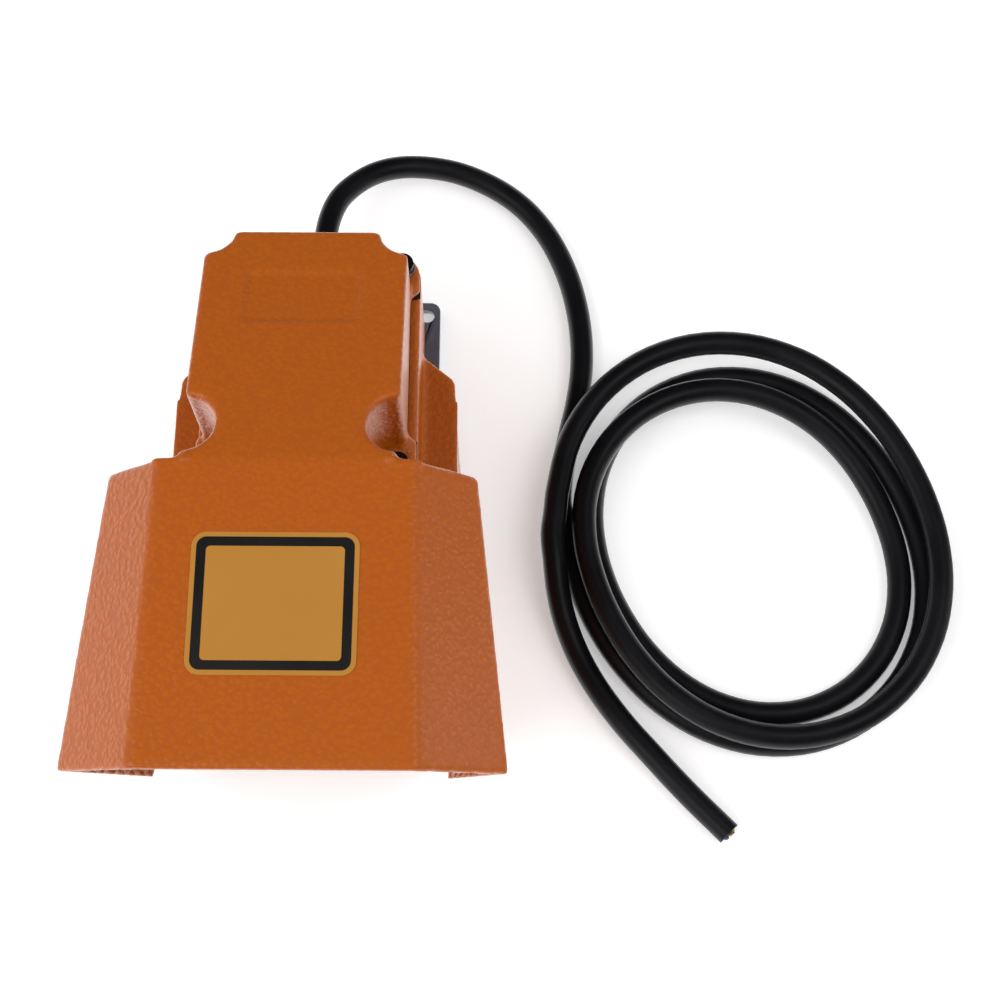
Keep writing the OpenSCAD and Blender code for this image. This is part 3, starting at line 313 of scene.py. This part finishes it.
bpy.ops.mesh.primitive_plane_add(size=FLOOR_SIDE)
floor = bpy.context.object
floor.name = "floor"
floor_paint = bpy.data.materials.new("white_floor")
floor_paint.use_nodes = True
tree = floor_paint.node_tree
tree.nodes.clear()
rays = add(tree, "ShaderNodeLightPath")
matt = add(tree, "ShaderNodeBsdfDiffuse", None, {"Color": (FLOOR_WHITE, FLOOR_WHITE, FLOOR_WHITE, 1)})
glow = add(tree, "ShaderNodeEmission", None, {"Color": (1, 1, 1, 1), "Strength": FLOOR_GLOW})
lit = add(tree, "ShaderNodeAddShader", None, {0: matt.outputs[0], 1: glow.outputs[0]})
place = add(tree, "ShaderNodeNewGeometry")
parts = add(tree, "ShaderNodeSeparateXYZ", None, {"Vector": place.outputs["Position"]})
left = add(tree, "ShaderNodeMapRange", {"interpolation_type": "SMOOTHSTEP"},
           {"Value": parts.outputs["X"], "From Min": SHEET_FADE_X[0], "From Max": SHEET_FADE_X[1],
            "To Min": SHEET_SHEEN, "To Max": SHEET_EDGE_SHEEN})
behind = add(tree, "ShaderNodeMapRange", {"interpolation_type": "SMOOTHSTEP"},
             {"Value": parts.outputs["Y"], "From Min": SHEET_FADE_Y[0], "From Max": SHEET_FADE_Y[1],
              "To Min": 1.0, "To Max": BACK_SHEEN})
sheen = add(tree, "ShaderNodeMath", {"operation": "MULTIPLY"},
            {0: left.outputs[0], 1: behind.outputs[0]})
mirrored = add(tree, "ShaderNodeEmission", None,
               {"Color": (1, 1, 1, 1), "Strength": sheen.outputs[0]})
studio = add(tree, "ShaderNodeMixShader", None,
             {0: rays.outputs["Is Glossy Ray"], 1: matt.outputs[0], 2: mirrored.outputs[0]})
choice = add(tree, "ShaderNodeMixShader", None,
             {0: rays.outputs["Is Camera Ray"], 1: studio.outputs[0], 2: lit.outputs[0]})
add(tree, "ShaderNodeOutputMaterial", None, {"Surface": choice.outputs[0]})
floor.data.materials.append(floor_paint)
print("floor", FLOOR_SIDE, "m wide")

# %% [markdown]
# Most finishes here are one plain material with small irregularities: two close tones in soft
# patches, a roughness that drifts a little, and a fine grain that only bends the light. One
# function makes such a surface from the real sizes of its patches and grain.

# %% Plain surfaces
TONE_SPAN = (0.35, 0.65)
DRIFT_SPAN = (0.3, 0.7)


def surface(name, tones, patch_mm, rough, grain_mm, grain_depth_mm, metal=0.0):
    """Material with two tones, a drifting roughness and a fine grain, on object coordinates."""
    material = bpy.data.materials.new(name)
    material.use_nodes = True
    made = material.node_tree
    shader = made.nodes["Principled BSDF"]
    places = add(made, "ShaderNodeTexCoord")
    patches = add(made, "ShaderNodeTexNoise", None,
                  {"Vector": places.outputs["Object"], "Scale": 1 / (patch_mm * MM), "Detail": 3.0})
    ramp = add(made, "ShaderNodeMapRange", None,
               {"Value": patches.outputs["Fac"], "From Min": TONE_SPAN[0], "From Max": TONE_SPAN[1]})
    tone = add(made, "ShaderNodeMix", {"data_type": "RGBA"},
               {0: ramp.outputs[0], 6: linear(tones[0]), 7: linear(tones[1])})
    drift = add(made, "ShaderNodeMapRange", None,
                {"Value": patches.outputs["Fac"], "From Min": DRIFT_SPAN[0], "From Max": DRIFT_SPAN[1],
                 "To Min": rough[0], "To Max": rough[1]})
    grain = add(made, "ShaderNodeTexNoise", None,
                {"Vector": places.outputs["Object"], "Scale": 1 / (grain_mm * MM), "Detail": 2.0})
    bump = add(made, "ShaderNodeBump", None,
               {"Height": grain.outputs["Fac"], "Distance": grain_depth_mm * MM, "Strength": 1.0})
    made.links.new(tone.outputs[2], shader.inputs["Base Color"])
    made.links.new(drift.outputs[0], shader.inputs["Roughness"])
    made.links.new(bump.outputs[0], shader.inputs["Normal"])
    shader.inputs["Metallic"].default_value = metal
    return material


# %% [markdown]
# Each finish gives its two tones, the size of its patches in millimetres, the range of its
# roughness, and the size and depth of its grain in millimetres. The cord's sheath is set to
# mirror less than the others, so that it comes out as a deep black with thin highlights.

# %% Finishes
finishes = {
    # Steel plate under slate-grey stoving enamel: even, a little glossy
    "slate_enamel": surface("slate_enamel", ("54545F", "5C5C68"), 14, (0.34, 0.44), 1.2, 0.02),
    # Cast pedal under black enamel
    "pedal_enamel": surface("pedal_enamel", ("18181A", "222225"), 10, (0.35, 0.5), 1.4, 0.04),
    # Compression-moulded black rubber: matt, with a faint bloom
    "moulded_rubber": surface("moulded_rubber", ("141415", "1E1E20"), 6, (0.62, 0.78), 0.5, 0.03),
    # Blackened cap screws of the casing, with an oily sheen
    "black_oxide": surface("black_oxide", ("1A191A", "262527"), 2.0, (0.3, 0.45), 0.4, 0.01, metal=0.7),
    # Bright zinc on turned steel screws: grey with a trace of blue
    "zinc_steel": surface("zinc_steel", ("A9ABAE", "8F9296"), 2.5, (0.26, 0.4), 0.4, 0.01, metal=1.0),
    # Ground shaft and drawn spring wire: smooth and bright
    "drawn_steel": surface("drawn_steel", ("B9BBBD", "A3A5A8"), 3, (0.2, 0.32), 0.3, 0.006, metal=1.0),
    # Acetal of the plunger: ivory and slightly waxy
    "acetal": surface("acetal", ("D9D4C6", "CFC9B8"), 8, (0.35, 0.45), 0.8, 0.01),
    # Turned brass of the bush and of the terminal screws
    "turned_brass": surface("turned_brass", ("C9A45A", "B08C45"), 3, (0.25, 0.38), 0.4, 0.01, metal=1.0),
    # Rolled copper alloy of the contact strips
    "rolled_copper": surface("rolled_copper", ("C08560", "A86E4C"), 3, (0.28, 0.4), 0.4, 0.01, metal=1.0),
    # Pressed thermoset of the contact block: near black, dull
    "thermoset": surface("thermoset", ("232326", "2C2C30"), 7, (0.45, 0.6), 0.9, 0.03),
    # Moulded polyamide of the cable gland: black, satin
    "polyamide": surface("polyamide", ("17181A", "202124"), 6, (0.38, 0.5), 0.8, 0.02),
    # Insulation of the three cores
    "brown_core": surface("brown_core", ("5A3218", "6B3D1E"), 5, (0.35, 0.45), 0.8, 0.01),
    "blue_core": surface("blue_core", ("24538C", "2E64A6"), 5, (0.35, 0.45), 0.8, 0.01),
    "green_yellow_core": surface("green_yellow_core", ("4F8A2A", "C9C32E"), 3, (0.35, 0.45), 0.8, 0.01),
    # Printed vinyl film: amber ground and black border
    "amber_film": surface("amber_film", ("B07728", "B57C2B"), 45, (0.36, 0.44), 1.1, 0.02),
    "black_film": surface("black_film", ("120F0E", "171312"), 30, (0.36, 0.44), 1.1, 0.02),
    # Sheath of the cord: flexible black compound, smooth from the extruder, blue-black sheen
    "cord_sheath": surface("cord_sheath", ("0A0A0E", "111116"), 25, (0.38, 0.48), 3.0, 0.03),
}
SHEATH_SHINE = 0.2
sheath = finishes["cord_sheath"].node_tree.nodes["Principled BSDF"]
sheath.inputs["Specular IOR Level"].default_value = SHEATH_SHINE
print(len(finishes), "plain finishes")

# %% [markdown]
# The castings wear an orange powder coat with a hammer texture. As the powder melts it draws
# together into low round pebbles a millimetre or two across, with shallow valleys between them.
# Warped Voronoi cells give the pebbles, a finer noise breaks them up, and the coat is a little
# rougher in the valleys. The valleys are also painted a shade darker than the pebbles: painted
# shade in the hollows of the coat.

# %% Hammer coat
PEBBLE_MM = 1.9
PEBBLE_DEPTH_MM = 0.15
WARP_MM, WARP_REACH_MM = 3.2, 2.2
FINE_GRAIN_MM, FINE_GRAIN_SHARE = 1.3, 0.35
TONE_PATCH_MM = 60
COAT_SHINE = 0.32
CELL_SMOOTHNESS, CELL_SPAN = 0.6, (0.1, 0.75)
BUMP_STRENGTH = 0.8
VALLEY_ROUGH, PEBBLE_ROUGH = 0.40, 0.32

hammer_coat = bpy.data.materials.new("orange_hammer_powder_coat")
hammer_coat.use_nodes = True
tree = hammer_coat.node_tree
shader = tree.nodes["Principled BSDF"]
places = add(tree, "ShaderNodeTexCoord")
warp = add(tree, "ShaderNodeTexNoise", None,
           {"Vector": places.outputs["Object"], "Scale": 1 / (WARP_MM * MM), "Detail": 1.0})
centred = add(tree, "ShaderNodeVectorMath", {"operation": "SUBTRACT"},
              {0: warp.outputs["Color"], 1: (0.5, 0.5, 0.5)})
pushed = add(tree, "ShaderNodeVectorMath", {"operation": "SCALE"},
             {0: centred.outputs[0], "Scale": WARP_REACH_MM * MM})
bent = add(tree, "ShaderNodeVectorMath", None, {0: places.outputs["Object"], 1: pushed.outputs[0]})
cells = add(tree, "ShaderNodeTexVoronoi", {"feature": "SMOOTH_F1"},
            {"Vector": bent.outputs[0], "Scale": 1 / (PEBBLE_MM * MM), "Smoothness": CELL_SMOOTHNESS})
pebble = add(tree, "ShaderNodeMapRange", {"interpolation_type": "SMOOTHSTEP"},
             {"Value": cells.outputs["Distance"], "From Min": CELL_SPAN[0], "From Max": CELL_SPAN[1],
              "To Min": 1.0, "To Max": 0.0})
fine = add(tree, "ShaderNodeTexNoise", None,
           {"Vector": places.outputs["Object"], "Scale": 1 / (FINE_GRAIN_MM * MM), "Detail": 2.0})
height = add(tree, "ShaderNodeMath", {"operation": "MULTIPLY_ADD"},
             {0: fine.outputs["Fac"], 1: FINE_GRAIN_SHARE, 2: pebble.outputs[0]})
bump = add(tree, "ShaderNodeBump", None,
           {"Height": height.outputs[0], "Distance": PEBBLE_DEPTH_MM * MM, "Strength": BUMP_STRENGTH})
drift = add(tree, "ShaderNodeTexNoise", None,
            {"Vector": places.outputs["Object"], "Scale": 1 / (TONE_PATCH_MM * MM), "Detail": 2.0})
ground = add(tree, "ShaderNodeMix", {"data_type": "RGBA"},
             {0: drift.outputs["Fac"], 6: linear("AB530A"), 7: linear("B1580C")})
# Painted shade: the valleys between the pebbles get a slightly darker orange than the ground.
valley = add(tree, "ShaderNodeMix", {"data_type": "RGBA"},
             {0: pebble.outputs[0], 6: linear("A75009"), 7: ground.outputs[2]})
dull = add(tree, "ShaderNodeMapRange", None,
           {"Value": pebble.outputs[0], "To Min": VALLEY_ROUGH, "To Max": PEBBLE_ROUGH})
tree.links.new(valley.outputs[2], shader.inputs["Base Color"])
tree.links.new(dull.outputs[0], shader.inputs["Roughness"])
tree.links.new(bump.outputs[0], shader.inputs["Normal"])
shader.inputs["Specular IOR Level"].default_value = COAT_SHINE
finishes["hammer_coat"] = hammer_coat
print("hammer coat", len(tree.nodes), "nodes, pebbles of", PEBBLE_MM, "mm")

# %% [markdown]
# The castings have the soft edges of die casting under a thick coat. Their solids have crisp
# ones. A copy of each solid gets a round bevel on its sharp edges, is rebuilt in even little
# cubes, so that bevels which run into each other melt together, and is smoothed a little. The
# chamber's corners are smoothed more, and the sunken field of its lid keeps its crisp rim.

# %% Where the castings stay crisp
RECESS_HALF_MM = 23
RECESS_Y_MM = (55, 82.5)
KNEE_Y_MM = -8
CHAMBER_Z_MM = 55


def in_recess(place):
    """Whether a point is in the sunken field of the chamber's lid, or on its rim."""
    x, y, z = (length / MM for length in place)
    return abs(x) < RECESS_HALF_MM and RECESS_Y_MM[0] < y < RECESS_Y_MM[1] and z > CHAMBER_Z_MM


def on_chamber(place):
    """Whether a point is on the chamber's upper part or on the hood's knee, away from the recess."""
    return place[1] / MM > KNEE_Y_MM and place[2] / MM > CHAMBER_Z_MM and not in_recess(place)


print("crisp field", 2 * RECESS_HALF_MM, "mm wide, rim and margin included")

# %% [markdown]
# The bevel takes only edges that turn by more than a set angle. Faces that lie in one plane are
# joined before it, so that their seams are left alone.

# %% Softened castings
CAST_EDGE_MM = 1.3
CAST_VOXEL_MM = 1.17
CAST_BEVEL_STEPS = 3
CAST_PASSES, CORNER_PASSES, PASS_FACTOR = 3, 6, 0.5
SAME_POINT_MM = 0.001
ROUNDED_ANGLE = math.radians(25)
FLAT_ANGLE = math.radians(0.5)


def plain_mesh(source, name):
    """New object with the evaluated mesh of another one, without its modifiers."""
    evaluated = source.evaluated_get(bpy.context.evaluated_depsgraph_get())
    mesh = bpy.data.meshes.new_from_object(evaluated)
    mesh.name = name
    made = bpy.data.objects.new(name, mesh)
    bpy.context.collection.objects.link(made)
    return made


def relax(piece, passes, group=""):
    """Smooth modifier on a piece, or only on one group of its points."""
    relaxed = piece.modifiers.new("relaxed", "SMOOTH")
    relaxed.factor = PASS_FACTOR
    relaxed.iterations = passes
    relaxed.vertex_group = group


def settled(piece, name):
    """The piece with its modifiers worked in, in place of the piece."""
    bpy.context.view_layer.update()
    made = plain_mesh(piece, name)
    bpy.data.objects.remove(piece)
    made.name = name
    return made


def softened(node, name, rounder=None):
    """Copy of a cast solid with its sharp edges rounded, and smoothed more where a test says so."""
    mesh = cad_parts[node].data.copy()
    joined = bmesh.new()
    joined.from_mesh(mesh)
    bmesh.ops.remove_doubles(joined, verts=joined.verts, dist=SAME_POINT_MM * MM)
    bmesh.ops.dissolve_limit(joined, angle_limit=FLAT_ANGLE, verts=joined.verts, edges=joined.edges)
    weights = joined.edges.layers.float.new("bevel_weight_edge")
    for edge in joined.edges:
        crisp = all(in_recess(corner.co) for corner in edge.verts)
        edge[weights] = float(edge.calc_face_angle(0.0) > ROUNDED_ANGLE and not crisp)
    joined.to_mesh(mesh)
    joined.free()
    rough_copy = bpy.data.objects.new(name + "_rough", mesh)
    bpy.context.collection.objects.link(rough_copy)
    edge = rough_copy.modifiers.new("round_edge", "BEVEL")
    edge.width = CAST_EDGE_MM * MM
    edge.segments = CAST_BEVEL_STEPS
    edge.limit_method = "WEIGHT"
    edge.use_clamp_overlap = False
    cubes = rough_copy.modifiers.new("even_cubes", "REMESH")
    cubes.mode = "VOXEL"
    cubes.voxel_size = CAST_VOXEL_MM * MM
    cubes.use_smooth_shade = True
    relax(rough_copy, CAST_PASSES)
    made = settled(rough_copy, name)
    if rounder:
        group = made.vertex_groups.new(name="rounder")
        group.add([v.index for v in made.data.vertices if rounder(v.co)], 1.0, "REPLACE")
        relax(made, CORNER_PASSES, group.name)
        made = settled(made, name)
    made.data.materials.clear()
    made.data.materials.append(finishes["hammer_coat"])
    for face in made.data.polygons:
        face.use_smooth = True
    print(name, sum(len(f.vertices) - 2 for f in made.data.polygons), "triangles")
    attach(made, HOUSING)
    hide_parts(node)
    return made


hood_casting = softened("upper_casting", "hood_casting", on_chamber)
base_casting = softened("lower_casting", "base_casting")

# %% [markdown]
# The other solid parts keep their own meshes. Real edges are never quite sharp, so most of these
# parts get a small bevel, and each gets its finish.

# %% Finishes of the solid parts
SAME_CORNER_MM = 0.002
BEVELLED_ANGLE = math.radians(40)
EDGE_BEVEL_STEPS = 2

# For each finish: the width of the edges' bevel in millimetres, and the parts that wear it
DRESS = {
    "slate_enamel": (0.5, ["base_plate"]),
    "pedal_enamel": (0.7, ["pedal"]),
    "moulded_rubber": (0.25, ["rubber_feet", "chamber_gasket", "rest_buffer", "plunger_boot",
                              "pedal_pads", "gland_seal"]),
    "black_oxide": (0.2, ["casing_screws"]),
    "zinc_steel": (0.2, ["casing_washers", "plate_screws", "shaft_set_screws", "switch_screws",
                         "bracket_screws", "adjusting_screw", "adjusting_locknut", "switch_bracket"]),
    "drawn_steel": (0.2, ["pivot_shaft"]),
    "acetal": (0.2, ["plunger"]),
    "turned_brass": (0.15, ["plunger_bush", "terminal_screws", "earth_screw"]),
    "rolled_copper": (0.1, ["contact_bridge", "fixed_contacts"]),
    "thermoset": (0.3, ["switch_body", "switch_cover"]),
    "polyamide": (0.4, ["gland_body", "gland_nut"]),
    "brown_core": (0, ["wire_brown"]),
    "blue_core": (0, ["wire_blue"]),
    "green_yellow_core": (0, ["wire_earth"]),
    "amber_film": (0, ["label_panel"]),
}
for finish, (edge_mm, nodes) in DRESS.items():
    for node in nodes:
        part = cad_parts[node]
        for slot in part.material_slots:
            slot.material = finishes[finish]
        if edge_mm:
            weld = part.modifiers.new("weld", "WELD")
            weld.merge_threshold = SAME_CORNER_MM * MM
            edge = part.modifiers.new("edge", "BEVEL")
            edge.width = edge_mm * MM
            edge.segments = EDGE_BEVEL_STEPS
            edge.limit_method = "ANGLE"
            edge.angle_limit = BEVELLED_ANGLE
            edge.use_clamp_overlap = True
            edge.harden_normals = True
print("dressed", sum(len(nodes) for _, nodes in DRESS.values()), "solid parts")

# %% [markdown]
# The cord takes its finish, and its cut end shows the three cores. The core ends and their
# copper strands repeat in rings, so Geometry Nodes place them: a tree puts copies of one small
# rod on a circle.

# %% Ring of rods
def ring_tree(name):
    """Geometry nodes that stand rods on a circle round the Z axis, with named sizes."""
    made = bpy.data.node_groups.new(name, "GeometryNodeTree")
    sockets = made.interface
    sockets.new_socket("Geometry", in_out="OUTPUT", socket_type="NodeSocketGeometry")
    for title, kind, value in (
        ("Count", "NodeSocketInt", 6),
        ("Ring radius", "NodeSocketFloat", 1 * MM),
        ("Rod radius", "NodeSocketFloat", 0.2 * MM),
        ("Rod length", "NodeSocketFloat", 1 * MM),
        ("Sides", "NodeSocketInt", 8),
        ("Finish", "NodeSocketMaterial", None),
    ):
        socket = sockets.new_socket(title, in_out="INPUT", socket_type=kind)
        if value is not None:
            socket.default_value = value
    sizes = add(made, "NodeGroupInput").outputs
    circle = add(made, "GeometryNodeMeshCircle", None,
                 {"Vertices": sizes["Count"], "Radius": sizes["Ring radius"]})
    rod = add(made, "GeometryNodeMeshCylinder", None,
              {"Vertices": sizes["Sides"], "Radius": sizes["Rod radius"], "Depth": sizes["Rod length"]})
    copies = add(made, "GeometryNodeInstanceOnPoints", None,
                 {"Points": circle.outputs[0], "Instance": rod.outputs[0]})
    real = add(made, "GeometryNodeRealizeInstances", None, {0: copies.outputs[0]})
    painted = add(made, "GeometryNodeSetMaterial", None,
                  {"Geometry": real.outputs[0], "Material": sizes["Finish"]})
    add(made, "NodeGroupOutput", None, {0: painted.outputs[0]})
    return made


rod_ring = ring_tree("rod_ring")
print("rod ring", len(rod_ring.nodes), "nodes")


def ring(name, place, facing, finish, **sizes):
    """Plain mesh of a ring of rods, its axis along a direction from a place."""
    holder = bpy.data.objects.new(name + "_holder", bpy.data.meshes.new(name + "_holder"))
    bpy.context.collection.objects.link(holder)
    modifier = holder.modifiers.new("ring", "NODES")
    modifier.node_group = rod_ring
    wanted = {title.replace("_", " ").capitalize(): value for title, value in sizes.items()}
    wanted["Finish"] = finishes[finish]
    for item in rod_ring.interface.items_tree:
        if item.in_out == "INPUT" and item.name in wanted:
            modifier[item.identifier] = wanted[item.name]
    holder.update_tag()
    bpy.context.view_layer.update()
    made = plain_mesh(holder, name)
    bpy.data.objects.remove(holder)
    turned = Vector(facing).to_track_quat("Z", "Y").to_matrix().to_4x4()
    made.data.transform(Matrix.Translation(place) @ turned)
    return made


# %% [markdown]
# Each core is three overlapping rods in its own colour, with seven copper strands that stand out
# of it a little.

# %% Cut end of the cord
cord.data.materials.append(finishes["cord_sheath"])
cut_facing = (cord_line[-1] - cord_line[-2]).normalized()
cut_end = cord_line[-1]
CORE_RING_MM, CORE_R_MM, CORE_STICK_MM = 1.75, 1.3, 1.2
CORE_RODS, CORE_ROD_RING_MM, CORE_ROD_SIDES = 3, 0.3, 20
STRANDS, STRAND_RING_MM, STRAND_R_MM, STRAND_SIDES = 7, 0.5, 0.2, 8
STRANDS_BEYOND_MM = 1.0

core_ends = []
core_frame = cut_facing.to_track_quat("Z", "Y").to_matrix()
for index, colour in enumerate(("brown", "blue", "green_yellow")):
    turn = math.radians(90 + 120 * index)
    offset = core_frame @ Vector((CORE_RING_MM * math.cos(turn), CORE_RING_MM * math.sin(turn), 0)) * MM
    core = ring("core_end_" + colour, cut_end + offset, cut_facing, colour + "_core",
                count=CORE_RODS, ring_radius=CORE_ROD_RING_MM * MM,
                rod_radius=(CORE_R_MM - CORE_ROD_RING_MM) * MM,
                rod_length=CORE_STICK_MM * MM, sides=CORE_ROD_SIDES)
    strands = ring("strands_" + colour, cut_end + offset, cut_facing, "rolled_copper",
                   count=STRANDS, ring_radius=STRAND_RING_MM * MM, rod_radius=STRAND_R_MM * MM,
                   rod_length=(CORE_STICK_MM + STRANDS_BEYOND_MM) * MM,
                   sides=STRAND_SIDES)
    core_ends += [core, strands]

for piece in core_ends:
    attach(piece, HOUSING)

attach(cord, HOUSING)
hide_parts("cord_lead", "cord_coil", "cord_tail")
print(len(core_ends), "pieces at the cut end")

# %% [markdown]
# Both springs are curls of drawn wire. Their solids are a coil of coarse wire and a plain tube, so
# a smooth wire stands for each. The rubber boot gets a plain copy of its solid.

# %% Wire springs
SPRING_SIDES = 32
WIRE_BEVEL_STEPS = 4


def coil_spring(node, name, ring_r, wire_r, curls):
    """Wire wound into curls between the ends of a node's box, round the middle of the box."""
    low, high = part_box(node)
    middle = [(a + b) / 2 for a, b in zip(low, high)]
    steps = SPRING_SIDES * curls
    rise = (high[2] - low[2]) - 4 * wire_r
    places = []
    for i in range(steps + 1):
        turn = math.radians(360 * i / SPRING_SIDES)
        places.append(Vector((
            middle[0] + ring_r * math.cos(turn),
            middle[1] + ring_r * math.sin(turn),
            low[2] + 2 * wire_r + rise * i / steps,
        )))
    seat = Vector((0, 0, wire_r))
    places = [places[0] - seat] + places + [places[-1] + seat]
    holder = round_wire(name + "_curve", places, wire_r, WIRE_BEVEL_STEPS)
    made = plain_mesh(holder, name)
    bpy.data.objects.remove(holder)
    made.data.materials.clear()
    made.data.materials.append(finishes["drawn_steel"])
    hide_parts(node)
    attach(made, HOUSING)
    return made, low, high


# %% [markdown]
# The pedal presses its return spring down onto the tray, and the plunger presses its spring and
# its boot upwards. Each of these pieces gets a mesh of its own.

# %% Springs and boot
RETURN_RING_MM, RETURN_WIRE_MM, RETURN_CURLS = 8, 0.9, 5
CONTACT_RING_MM, CONTACT_WIRE_MM, CONTACT_CURLS = 4.0, 0.4, 6


def pressed_upwards(piece, low, high):
    """Gives a piece a mesh of its own, without shortening it."""
    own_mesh(piece)


pedal_spring, low, high = coil_spring("return_spring", "return_spring_wire",
                                      RETURN_RING_MM * MM, RETURN_WIRE_MM * MM, RETURN_CURLS)
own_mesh(pedal_spring)

contact_spring, low, high = coil_spring("plunger_spring", "plunger_spring_wire",
                                        CONTACT_RING_MM * MM, CONTACT_WIRE_MM * MM, CONTACT_CURLS)
pressed_upwards(contact_spring, low, high)

boot = plain_mesh(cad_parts["plunger_boot"], "plunger_boot_cone")
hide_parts("plunger_boot")
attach(boot, HOUSING)
pressed_upwards(boot, *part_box("plunger_boot"))

# %% [markdown]
# The label on the hood is a piece of printed film: a plain amber ground with a black line set in
# from its edge. The line is a thin flat ring between two rounded rectangles.

# %% Label border
LABEL_MARGIN_MM, LABEL_LINE_MM, LABEL_CORNER_MM = 1.7, 3.2, 5
INNER_CORNER_MM = 1.5
INK_MM = 0.08
CORNER_STEPS = 10


def rounded_outline(low_corner, high_corner, inset, radius, z):
    """Points of a rounded rectangle that is set in from two corners."""
    points = []
    for turn, (x, y) in enumerate(((1, 1), (-1, 1), (-1, -1), (1, -1))):
        cx = (high_corner[0] - inset - radius) if x > 0 else (low_corner[0] + inset + radius)
        cy = (high_corner[1] - inset - radius) if y > 0 else (low_corner[1] + inset + radius)
        for step in range(CORNER_STEPS + 1):
            angle = math.radians(90 * (turn + step / CORNER_STEPS))
            points.append((cx + radius * math.cos(angle), cy + radius * math.sin(angle), z))
    return points


label_low, label_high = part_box("label_panel")
line_z = label_high[2] + INK_MM / 2 * MM
inner_inset = LABEL_MARGIN_MM + LABEL_LINE_MM
border = bmesh.new()
outer = [border.verts.new(p) for p in rounded_outline(
    label_low, label_high, LABEL_MARGIN_MM * MM, (LABEL_CORNER_MM - LABEL_MARGIN_MM) * MM, line_z)]
inner = [border.verts.new(p) for p in rounded_outline(
    label_low, label_high, inner_inset * MM, INNER_CORNER_MM * MM, line_z)]
for a in range(len(outer)):
    b = (a + 1) % len(outer)
    border.faces.new((outer[a], outer[b], inner[b], inner[a]))
border_mesh = bpy.data.meshes.new("label_border")
border.to_mesh(border_mesh)
border.free()
label_border = bpy.data.objects.new("label_border", border_mesh)
bpy.context.collection.objects.link(label_border)
ink = label_border.modifiers.new("ink", "SOLIDIFY")
ink.thickness = INK_MM * MM
ink.offset = 0
border_mesh.materials.append(finishes["black_film"])
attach(label_border, HOUSING)
print("label line", LABEL_LINE_MM, "mm wide")
